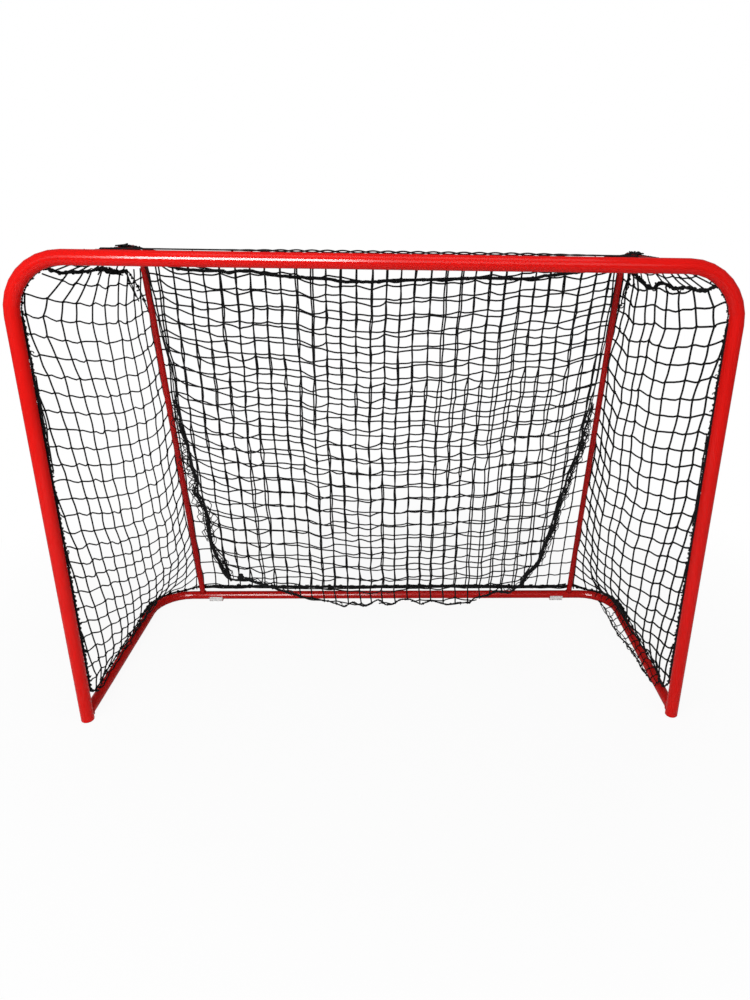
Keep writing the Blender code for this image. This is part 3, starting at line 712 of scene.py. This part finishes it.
# Drop net: hangs from its own rope between the stays' bends, narrower and bunched towards its foot.
# Its outline and rope are places across and up in its own plane. EYE is the camera's place
DROP_Y = 0.3830
EYE_X, EYE_BACK, EYE_Z = 0.0369, 1.4788, 1.1537
DROP_LEFT = np.array([
    (-0.574, 1.0334), (-0.5661, 0.9633), (-0.5577, 0.8975), (-0.5498, 0.8364), (-0.5382, 0.7765),
    (-0.5379, 0.694), (-0.5283, 0.6168), (-0.5182, 0.5733), (-0.5186, 0.529), (-0.5078, 0.4897),
    (-0.5039, 0.4669), (-0.5163, 0.4467), (-0.4999, 0.4207), (-0.4901, 0.3885), (-0.4876, 0.3449),
    (-0.4877, 0.3208), (-0.4855, 0.2969), (-0.4798, 0.2626), (-0.4647, 0.2328), (-0.4601, 0.2158),
    (-0.4513, 0.1943), (-0.4369, 0.1798),
])
DROP_RIGHT = np.array([
    (0.569, 1.026), (0.5652, 0.9347), (0.5566, 0.8477), (0.5488, 0.7693), (0.5387, 0.6858),
    (0.5272, 0.6232), (0.5269, 0.5771), (0.5143, 0.5444), (0.5018, 0.5063), (0.4961, 0.468),
    (0.4853, 0.434), (0.4754, 0.3846), (0.4657, 0.3342), (0.454, 0.3037), (0.4428, 0.2624),
    (0.427, 0.2204), (0.4046, 0.1993), (0.3879, 0.1619),
])
DROP_FOOT = np.array([
    (-0.4369, 0.1798), (-0.4207, 0.1782), (-0.3955, 0.1813), (-0.3677, 0.1716), (-0.3398, 0.1600),
    (-0.3106, 0.1480), (-0.2655, 0.1336), (-0.2206, 0.1178), (-0.1662, 0.1098), (-0.1208, 0.0916),
    (-0.0974, 0.1069), (-0.061, 0.0913), (-0.0241, 0.1149), (-0.0011, 0.0964), (0.02, 0.1006),
    (0.0393, 0.1147), (0.0682, 0.1146), (0.1017, 0.098), (0.1256, 0.1112), (0.1738, 0.0978),
    (0.2076, 0.1026), (0.2415, 0.1025), (0.2551, 0.1189), (0.2934, 0.127), (0.3166, 0.1403),
    (0.3558, 0.135), (0.3879, 0.1619),
])
ROPE_X = (
    -0.574, -0.5059, -0.4779, -0.4458, -0.3857, -0.3747, -0.3606, -0.3256, -0.2905, -0.2544, -0.1331,
    -0.109, -0.0237, 0.0154, 0.0927, 0.2002, 0.2293, 0.3217, 0.3669, 0.3911, 0.4373, 0.4775, 0.569,
)
ROPE_Z = (
    1.0434, 1.0221, 1.0171, 1.0162, 1.0154, 1.0089, 1.0159, 1.0171, 1.0101, 1.0054, 0.9999, 0.9943,
    0.9943, 0.9993, 1.001, 1.0053, 1.0079, 1.0067, 1.0076, 1.0144, 1.0195, 1.0241, 1.0414,
)
DROP_Q = (
    -1.0, -0.94, -0.90, -0.85, -0.76, -0.63, -0.49, -0.35, -0.22, -0.08, 0.05, 0.20, 0.38, 0.63, 0.76,
    0.90, 1.0,
)
DROP_LIFT = (
    0.045, 0.038, 0.027, 0.0235, 0.024, 0.022, 0.021, 0.013, -0.003, -0.002, 0.004, 0.007, 0.011, 0.019,
    0.023, 0.028, 0.042,
)
GATHER_IN, GATHER_SOFT = 0.017, 0.014


def rope_z(x):
    """Height of the drop net's rope, which sags between its ties."""
    return np.interp(x, ROPE_X, ROPE_Z)


def eased_back(past):
    """How far a column past the edge is moved back, so that columns bunch up inside it."""
    past = np.maximum(past, 0)
    return past - GATHER_SOFT * (1 - np.exp(-past / GATHER_SOFT))


def drop_at(i, j):
    """Its columns stand in front of the back panel's as the photo shows them, and gather along its edges."""
    row = j - ROWS_OVER
    middle = 0.940 - 0.0400 * row + 0.022 * (row < -1)
    q = np.clip(back_column(i, middle) / EDGE_HALF, -1, 1)
    z = middle + np.interp(q, DROP_Q, DROP_LIFT) + smooth(row, 12, 8) * 0.045 * q ** 6
    z = z + 0.0048 - 0.0021 * (1 - middle) + 0.0014 * q
    back_z = z - 0.02
    y, slack = back_depth(back_z)
    nearer = (DROP_Y + EYE_BACK) / (y + slack + EYE_BACK)
    x = EYE_X + (back_column(i, back_z) - EYE_X) * nearer
    x = x + 0.006 * smooth(x, 0, 0.35) * smooth(-z, -1.0, 0.3) + 0.0024 * np.sin(1.3 * i + 0.12 * j)
    far_left = np.interp(-z, -DROP_LEFT[:, 1], DROP_LEFT[:, 0]) + GATHER_IN
    far_right = np.interp(-z, -DROP_RIGHT[:, 1], DROP_RIGHT[:, 0]) - GATHER_IN
    x = x + eased_back(far_left - x) - eased_back(x - far_right)
    return xyz(x, DROP_Y + 0.003 * (np.sin(0.9 * i + 0.35 * j) - 1) * smooth(0.2 * (j - 2)), z)


def drop_inside(points):
    head = np.maximum(rope_z(points[..., 0]) + 0.001, 1.029) - points[..., 2]
    foot = points[..., 2] - np.interp(points[..., 0], DROP_FOOT[:, 0], DROP_FOOT[:, 1]) + 0.002
    return np.minimum(head, foot)


strands = Strands(41)
netting(strands, drop_at, NET_COLUMNS, NET_ROWS, drop_inside, thick=THICK_TWINE_R)
finished(strands, "drop_netting", "drop_net", "drop_net", *NET)

# Cords


def loops(strands, route, every, size, radius=TWINE_R):
    """Small stray loops and tails of twine along a cord."""
    rng = strands.rng
    for spot in resampled(route, every)[1:-1]:
        if rng.random() < 0.25:
            continue
        turn = np.linspace(0, rng.uniform(1.1, 1.9) * np.pi, 9)
        a, b = rng.normal(size=(2, 3))
        a = unit(a)
        b = unit(b - a * b.dot(a))
        reach = size * rng.uniform(0.5, 1.2)
        curl = spot + reach * (np.sin(turn)[:, None] * a + (1 - np.cos(turn))[:, None] * b * 0.6)
        strands.line(curl, radius)


def wraps(strands, route, every, around, radius, turns):
    """Short windings of twine that bind the cord, each with its knot."""
    rng = strands.rng
    step = 0.002
    route = resampled(route, step)
    along = unit(np.gradient(route, axis=0))
    stride = max(2, int(every / step))
    for k in range(stride // 2, len(route) - 4, stride):
        t = along[k]
        n = unit(np.cross(t, ASKEW))
        b = np.cross(t, n)
        angle = np.linspace(0, turns * 2 * np.pi, int(10 * turns)) + rng.uniform(0, 6)
        drift = np.linspace(-1, 1, len(angle))[:, None] * turns * radius * 1.1
        wide = around * (1 + 0.15 * rng.normal())
        ring = route[k] + wide * (np.cos(angle)[:, None] * n + np.sin(angle)[:, None] * b) + drift * t
        strands.line(ring, radius)
        strands.knots(ring[len(ring) // 2], 1.7 * radius)


def tangle(strands, route, outward, every, reach):
    """Bunched twine that leaves an edge and comes back to it."""
    rng = strands.rng
    route = resampled(route, every)
    for a, b in zip(route[:-3], route[3:]):
        if rng.random() < 0.2:
            continue
        away = np.array(outward) * rng.uniform(0.3, 1.0) * reach
        middle = (a + b) / 2 + away + rng.normal(size=3) * (0.003, 0.004, 0.005)
        points = rounded(np.array([a, a + 0.5 * away, middle, b + 0.4 * away, b]), 0.003, 2)
        strands.line(points + wander(rng, len(points), 0.0016, 4), 0.0012)


# Lacing along the legs, doubled over a stretch, and thinner round the top corners
for side, word in SIDES:
    strands = Strands(50 + side)
    foot = SIDE[side]["foot"]
    leg = xyz(side * EDGE_X, EDGE_IN, np.linspace(foot, BAR_Z - CORNER_R, 90))
    radius = CORNER_R - EDGE_IN
    turn = np.linspace(0, math.radians(62), 14)
    out = side * (LEG_X - CORNER_R + radius * np.cos(turn))
    bend = xyz(out, EDGE_IN, BAR_Z - CORNER_R + radius * np.sin(turn))
    rope(strands, leg, EDGE_R * 0.92, 0.013, 3, rough=0.0004)
    low, high = SIDE[side]["doubled"]
    doubled = leg[(leg[:, 2] > low) & (leg[:, 2] < high)] + (-side * 0.0035, 0.003, 0)
    for _ in range(2):
        thread(strands, doubled, THREAD_R, 0.0014, 6)
    wraps(strands, leg, 0.0130, EDGE_R * 1.15, BINDING_R, 1.6)
    loops(strands, leg + (-side * 0.002, 0.003, 0), 0.036, 0.0045, 0.0012)
    rope(strands, bend, EDGE_R * 0.55, 0.012, 2, rough=0.0003)
    wraps(strands, bend, 0.0195, EDGE_R * 0.8, BINDING_R, 1.6)
    finished(strands, f"{word}_leg_lacing", "frame", f"{word}_lacing")


def border_route():
    """Along the base tube's outer shoulder at the sides, and just over it at the back."""
    u = np.linspace(0, 1, 60)
    out, back = base_path(u)
    height = CORD_Z + 0.0125 * smooth(u, 0.91, 0.09)

    def half(side):
        start = [(side * EDGE_X, 0.014, SIDE[side]["foot"]), (side * (LEG_X - 0.006), 0.045, 0.052)]
        return np.concatenate([start, xyz(side * out, back, height)[back > 0.075]])

    x = np.linspace(-STAY_X + 0.02, STAY_X - 0.02, 40)
    middle = xyz(x, REAR + CORD_OUT - 0.001, height[-1] + 0.0015 * np.sin(9 * x))
    return rounded(np.concatenate([half(-1), middle, half(1)[::-1]]), 0.006, 2)


def round_tube(side, y, angle, gap):
    """A point on the base tube's side run: angle 0 at its outer side, 90 degrees on top."""
    reach = BASE_R + gap
    return xyz(side * (LEG_X + reach * np.cos(angle)), y, BASE_Z + reach * np.sin(angle))


def round_corner(side, turn, angle, gap):
    """A point on the base tube's corner, the turn counted from the side run."""
    reach = BASE_CORNER_R + (BASE_R + gap) * np.cos(angle)
    x, y = side * (CENTRE_X + reach * np.cos(turn)), CENTRE_Y + reach * np.sin(turn)
    return xyz(x, y, BASE_Z + (BASE_R + gap) * np.sin(angle))


# The side panel's lower edge folds over the tube, from an angle to its reach, in degrees. On the right
# a row of meshes hangs inside, down to the floor. FOLD_IN is how far back, out and up it ends
FOLD_FROM = 42
FOLD = {
    -1: dict(pitch=0.030, reach=100, twine=0.0011, last_turn=0.60, turn_reach=100, weave=100, weave_r=0.0017),
    1: dict(pitch=0.034, reach=165, twine=0.0015, last_turn=1.15, turn_reach=160, weave=130, weave_r=0.0010),
}
FOLD_IN = np.array([
    (0.105, 0.7035, 0.016), (0.158, 0.7015, 0.008), (0.200, 0.7000, 0.006), (0.271, 0.6965, 0.006),
    (0.337, 0.6852, 0.006), (0.406, 0.6804, 0.006), (0.481, 0.6805, 0.007), (0.525, 0.6800, 0.010),
    (0.548, 0.6715, 0.014),
])


def fold_over(strands, side):
    """Strands of the panel's lower edge that go over the tube, and one that runs along it."""
    rng = strands.rng
    look = FOLD[side]
    points = 14
    inner_y, inner_x, inner_z = FOLD_IN.T
    for y in np.arange(0.092, 0.512, look["pitch"]):
        angle = np.radians(np.linspace(FOLD_FROM, look["reach"], points))
        slant = 0.010 * rng.uniform(-0.6, 1.2) * np.sin(np.linspace(0, np.pi, points))
        over = round_tube(side, y + slant + wander(rng, points, 0.0016, 4)[:, 0], angle, 0.0010)
        if side > 0:
            low = np.array([np.interp(y, inner_y, inner_x), y + 0.004, np.interp(y, inner_y, inner_z)])
            low = low + rng.normal(size=3) * (0.002, 0.006, 0.0005)
            share = np.linspace(0, 1, 8)[1:, None]
            hanging = over[-1] * (1 - share) + low * share + wander(rng, len(share), 0.0020, 3)
            over = np.concatenate([over, hanging])
        strands.line(rounded(over, 0.003, 1), look["twine"])
    for turn in np.arange(0.10, look["last_turn"], 0.22):
        angle = np.radians(np.linspace(FOLD_FROM, look["turn_reach"], points))
        turns = turn + wander(rng, points, 0.010, 4)[:, 0]
        strands.line(rounded(round_corner(side, turns, angle, 0.0010), 0.003, 1), look["twine"])
    run = np.linspace(0.085, 0.515, 90)
    weave = np.radians(look["weave"] + wander(rng, len(run), 7.0, 3)[:, 0])
    strands.line(rounded(round_tube(side, run, weave, 0.0012), 0.004, 1), look["weave_r"])


def inner_hem(strands):
    """The knotted edge that lies inside the right base tube."""
    hem = rounded(FOLD_IN[:, [1, 0, 2]], 0.004, 3)
    for _ in range(2):
        thread(strands, hem, 0.0014, 0.0026, spread=(1, 1, 0.3))
    strands.knots(hem[::6], 0.0030)
    tangle(strands, hem, (0.8, 0, 0.4), 0.040, 0.008)


# Border cord: thick behind and in the corners, thin at the sides, with the edge folded over it
strands = Strands(61)
route = border_route()
from_middle = np.abs(route[:, 0])
rear = route[from_middle < STAY_X + 0.02]
rope(strands, rear, BASE_CORD_R * 1.3, 0.016, 3, rough=0.0006)
wraps(strands, rear, 0.0372, BASE_CORD_R * 1.45, 0.0018, 2.6)
for side, _ in SIDES:
    run = route[side * route[:, 0] > STAY_X + 0.014]
    rope(strands, run, BASE_CORD_R * 0.52, 0.014, 3, rough=0.0006)
    wraps(strands, run, 0.0372, BASE_CORD_R * 0.70, 0.0012, 1.6)
    corner = route[(side * route[:, 0] > STAY_X - 0.012) & (route[:, 1] > 0.43)]
    rope(strands, corner, BASE_CORD_R * (1.0 if side > 0 else 0.85), 0.016, 3, rough=0.0008)
    wraps(strands, corner, 0.0240, BASE_CORD_R * 1.15, 0.0014, 2.2)
beside = route[from_middle < STAY_X] - (0, 0.002, 0.005)
thread(strands, beside, 0.0019, 0.0010, ease=0.006)
fold_over(strands, -1)
fold_over(strands, 1)
inner_hem(strands)
for part in strands.points:
    part[:, 2] = np.maximum(part[:, 2], 0.0004)
finished(strands, "base_border_cord", "frame", "base_cord")

# Seams down the stays, which leave them near the bend for the side panels' tops, and the gathered tops:
# a rope, folds of net along it, most of them near the stay, and two tails
for side, word in SIDES:
    strands = Strands(70 + side)
    z = np.linspace(CORD_Z + 0.012, 0.90, 60)
    seam = xyz(side * (STAY_X + 0.0045), stay_y(z) + STAY_R + 0.0030, z)
    top = [(side * 0.5925, 0.412, 0.925), (side * 0.5945, 0.392, 0.958), (side * 0.600, 0.370, 0.995)]
    route = rounded(np.concatenate([seam, top, HEM[side][-1:]]), 0.006, 3)
    rope(strands, route, SEAM_R * 0.9, 0.012, 2, rough=0.0008)
    wraps(strands, route, ROW_PITCH, SEAM_R * 1.2, BINDING_R, 1.6)
    loops(strands, route[len(route) * 4 // 5:], 0.03, 0.006)
    finished(strands, f"{word}_corner_seam", "frame", f"{word}_back_seam")

    strands = Strands(80 + side)
    hem = rounded(HEM[side], 0.005, 2)
    rope(strands, hem, 0.0026, 0.013, 3, rough=0.0008)
    wraps(strands, hem, 0.024, 0.0030, 0.0012, 1.8)
    for _ in range(3):
        thread(strands, hem - 0.001 * UP, THREAD_R, 0.0022)
    gather = hem[int(0.68 * len(hem)):int(0.95 * len(hem))]
    for _ in range(8 if side < 0 else 4):
        thread(strands, gather - 0.0025 * UP, 0.0017, 0.0030, 4, passes=2)
    strands.knots(gather[::6], 0.0050)
    strands.knots(hem[4::9] - 0.002 * UP, 0.0040)
    share = np.linspace(0, 1, 14)[:, None]
    for k in range(2):
        tail = hem[-1] + share * (side * -0.006, 0.030, -0.075 + 0.012 * k)
        thread(strands, tail + (side * 0.003 * k, 0, 0), THREAD_R, 0.0020, 4)
    loops(strands, hem, 0.040, 0.006, 0.0012)
    finished(strands, f"{word}_top_gather", "frame", f"{word}_top_seam")

# Seam along the back of the roof, a loosely twisted pair of cords
strands = Strands(91)
seam_x = np.linspace(-0.578, 0.578, 140)
route = xyz(seam_x, SEAM_Y, roof_seam_z(seam_x))
rope(strands, route, SEAM_R * 1.15, 0.055, 2, rough=0.0010)
wraps(strands, route, BACK_PITCH, SEAM_R, BINDING_R, 1.4)
finished(strands, "roof_back_seam", "frame", "roof_seam")

BEND_TURN = math.pi / 2 - LEAN
BEND_START = TOP_DEPTH - STAY_BEND_R * math.tan(BEND_TURN / 2)
WINDING_PITCH = 0.0021


def stay_axis(side, step):
    """The stay's centre line along its level run and round most of its bend."""
    run = np.linspace(0.09, BEND_START, 60)
    turn = np.linspace(0, math.radians(66), 26)[1:]
    level = xyz(side * STAY_X, run, BAR_Z)
    fall = STAY_BEND_R * (1 - np.cos(turn))
    bend = xyz(side * STAY_X, BEND_START + STAY_BEND_R * np.sin(turn), BAR_Z - fall)
    return resampled(np.concatenate([level, bend]), step)


# Close windings that hold the roof's edge to each stay, a bundle on top, and tails to the drop net
for side, word in SIDES:
    strands = Strands(100 + side)
    step = 0.0006
    axis = stay_axis(side, step)
    number = np.arange(len(axis))
    across = (1.0, 0, 0)
    over = np.cross(across, unit(np.gradient(axis, axis=0)))
    angle = (number * step / WINDING_PITCH * 2 * np.pi)[:, None]
    reach = (STAY_R + 0.0009 + 0.0003 * np.sin(0.013 * number))[:, None]
    strands.line(resampled(axis + reach * (np.cos(angle) * across + np.sin(angle) * over), 0.0032), 0.0013)
    crest = axis[int(0.50 * len(axis)):int(0.72 * len(axis)):20] + (STAY_R + 0.0015) * UP
    for _ in range(8):
        thread(strands, crest, 0.0016, 0.0026, 4, ease=0.003, passes=2, spread=(2, 1, 0.6))
    strands.knots(crest[len(crest) // 4::3], 0.0040)
    inward = np.linspace(0, 0.075, 14)
    level_z = np.linspace(BAR_Z + STAY_R + 0.001, 1.058, 14)
    tail = xyz(side * (STAY_X - inward), 0.30 + 0.6 * inward, level_z)
    for _ in range(3):
        thread(strands, tail, THREAD_R, 0.0012, ease=0.003, passes=2)
    finished(strands, f"{word}_bend_tie", "frame", f"{word}_tie")

# Drop net's rope
strands = Strands(111)
route = rounded([(x, DROP_Y, z) for x, z in zip(ROPE_X, ROPE_Z)], 0.005, 3)
rope(strands, route, DROP_R, 0.012, 3, rough=0.0004)
wraps(strands, route, 0.0555, DROP_R, 0.0012, 2.6)
finished(strands, "drop_net_rope", "drop_net", "drop_rope")


def placed(pairs):
    """Places across and up, put just in front of the drop net's plane."""
    return np.array([(x, DROP_Y - 0.002, z) for x, z in pairs])


def drop_edge(strands, side, pairs):
    """A side of the drop net: a thin strand above, and bunched twine on a rope below."""
    edge = rounded(placed(pairs), 0.005, 2)
    thin, thick = edge[edge[:, 2] > 0.69], edge[edge[:, 2] < 0.70]
    thread(strands, thin, 0.0014, 0.0010, ease=0.005)
    rope(strands, thick, DROP_EDGE_R, 0.014, 3, rough=0.0014)
    for out in (0.6, 1.3):
        beside = thick + (out * side * 0.0045, 0, 0)
        thread(strands, beside, 0.0013, 0.0022, ease=0.005, spread=(1, 0.5, 1))
    wraps(strands, thick, 0.034, 0.0027, 0.0014, 2.2)
    strands.knots(thick[::7], 0.0046 if side < 0 else 0.0034)
    loops(strands, thick, 0.060, 0.007, 0.0013)
    high = thick[thick[:, 2] > (0.30 if side < 0 else 0.0)]
    tangle(strands, high, (side, 0, 0.1), 0.010, 0.030 if side < 0 else 0.016)


def left_folds(strands, pairs):
    """The left edge low down: a tangle on its inner side, and two folds of net."""
    edge = rounded(placed(pairs), 0.005, 2)
    tangle(strands, edge[edge[:, 2] < 0.42], (1.0, 0, 0.4), 0.012, 0.030)
    fold = edge[edge[:, 2] < 0.30]
    bow = np.sin(np.linspace(0, np.pi, len(fold)))[:, None] * (0.017, 0, 0.007)
    thread(strands, fold + bow, THICK_TWINE_R, 0.0012)
    thread(strands, fold + 0.55 * bow, 0.0013, 0.0020)


def drop_foot(strands):
    """The scalloped foot of the drop net, bunched at both ends."""
    foot = rounded(placed(DROP_FOOT), 0.004, 1)
    rope(strands, foot, DROP_EDGE_R, 0.012, 2, rough=0.0005)
    thread(strands, foot, 0.0014, 0.0016)
    strands.knots(foot[::7], 0.0034)
    loops(strands, foot, 0.06, 0.006, 0.0012)
    for bunched in (foot[foot[:, 0] < -0.26], foot[foot[:, 0] > 0.29]):
        rope(strands, bunched, 0.0030, 0.014, 3, rough=0.0010)
        tangle(strands, bunched, UP, 0.009, 0.014)
        strands.knots(bunched[::5], 0.0042)
    strands.knots(placed([(-0.4103, 0.1930), (-0.4070, 0.1875), (-0.4150, 0.1860)]), 0.0060)


strands = Strands(121)
drop_edge(strands, -1, DROP_LEFT)
left_folds(strands, DROP_LEFT)
drop_edge(strands, 1, DROP_RIGHT)
drop_foot(strands)
finished(strands, "drop_net_hem", "drop_net", "drop_hem")

# Floor: nearly white to the camera, and plain white away from the goal
floor_mesh = bpy.data.meshes.new("studio_floor")
floor_mesh.from_pydata([(-12, -8, 0), (12, -8, 0), (12, 16, 0), (-12, 16, 0)], [], [(0, 1, 2, 3)])
floor = new_object("studio_floor", floor_mesh)
floor_look, main, add, link = shader("studio_floor", Roughness=0.9, Specular_IOR_Level=0.0)
clouds = add("ShaderNodeTexNoise", Scale=3.0, Detail=3.0).outputs["Fac"]
link(mixed(add, link, (0.83, 0.83, 0.83), (0.86, 0.86, 0.86), clouds), main.inputs["Base Color"])
glow = add("ShaderNodeEmission")
rays = add("ShaderNodeLightPath")
surface = add("ShaderNodeMixShader")
distance = add("ShaderNodeVectorMath", operation="LENGTH")
link(add("ShaderNodeTexCoord").outputs["Object"], distance.inputs[0])
share = ramp(add, link, distance.outputs["Value"], 0.93, 1.0, 0.75, 1.6)
link(computed(add, link, rays.outputs["Is Camera Ray"], share), surface.inputs["Fac"])
link(main.outputs["BSDF"], surface.inputs[1])
link(glow.outputs["Emission"], surface.inputs[2])
output = floor_look.node_tree.nodes["Material Output"]
link(surface.outputs["Shader"], output.inputs["Surface"])
floor_mesh.materials.append(floor_look)

# World: white to the camera, and dim as a light
world = bpy.data.worlds.new("studio")
bpy.context.scene.world = world
backdrop, add, link = tools(world, "Background", Color=(1, 1, 1, 1))
seen = ramp(add, link, add("ShaderNodeLightPath").outputs["Is Camera Ray"], 0.20, 1.0)
link(seen, backdrop.inputs["Strength"])


def lamp(name, at, towards, width, height, watts, only=None):
    """An area lamp, placed from the front frame's plane, for all surfaces or only gloss or diffuse."""
    at, towards = Vector(at) + Vector(SHIFT), Vector(towards) + Vector(SHIFT)
    light = bpy.data.lights.new(name, "AREA")
    light.shape = "RECTANGLE"
    light.size, light.size_y = width, height
    light.energy = watts
    obj = new_object(name, light)
    obj.location = at
    obj.rotation_euler = (towards - at).to_track_quat("-Z", "Y").to_euler()
    obj.visible_diffuse = only != "gloss"
    obj.visible_glossy = only != "diffuse"


lamp("key_box", (-0.9, -2.0, 1.55), (-0.2, 0, 0.7), 1.6, 1.2, 29.5, "diffuse")
lamp("streak_box", (-0.81, -2.6, 1.62), (-0.2, 0, 0.9), 1.15, 0.34, 125, "gloss")
lamp("fade_box", (0.70, -2.6, 1.62), (0.1, 0, 0.9), 1.4, 0.36, 6, "gloss")
lamp("top_box", (0.0, -0.8, 2.6), (0, 0.1, 0.6), 1.8, 1.2, 17)
lamp("left_box", (-1.7, -1.1, 1.2), (-0.6, 0, 0.6), 0.8, 1.4, 5.5, "diffuse")
lamp("right_box", (1.7, -1.1, 1.2), (0.6, 0, 0.6), 0.8, 1.4, 4.5, "diffuse")

# Camera at the photo's viewpoint
camera_data = bpy.data.cameras.new("photo_view")
camera_data.sensor_width = 36
camera_data.lens = 26.3114
camera_data.shift_x = -0.05196
camera_data.shift_y = 0.00051
camera_data.clip_start = 0.05
camera = new_object("photo_view", camera_data)
yaw, pitch, roll = math.radians(2.3224), math.radians(21.4751), math.radians(-0.9762)
ahead = Vector((math.sin(yaw) * math.cos(pitch), math.cos(yaw) * math.cos(pitch), -math.sin(pitch)))
level = Vector((math.cos(yaw), -math.sin(yaw), 0))
below = ahead.cross(level)
right_axis = math.cos(roll) * level + math.sin(roll) * below
down_axis = -math.sin(roll) * level + math.cos(roll) * below
turned = Matrix((right_axis, -down_axis, -ahead)).transposed().to_4x4()
camera.matrix_world = Matrix.Translation((EYE_X, -EYE_BACK + FRONT_Y, EYE_Z)) @ turned
bpy.context.scene.camera = camera
bpy.context.scene.view_settings.view_transform = "Standard"
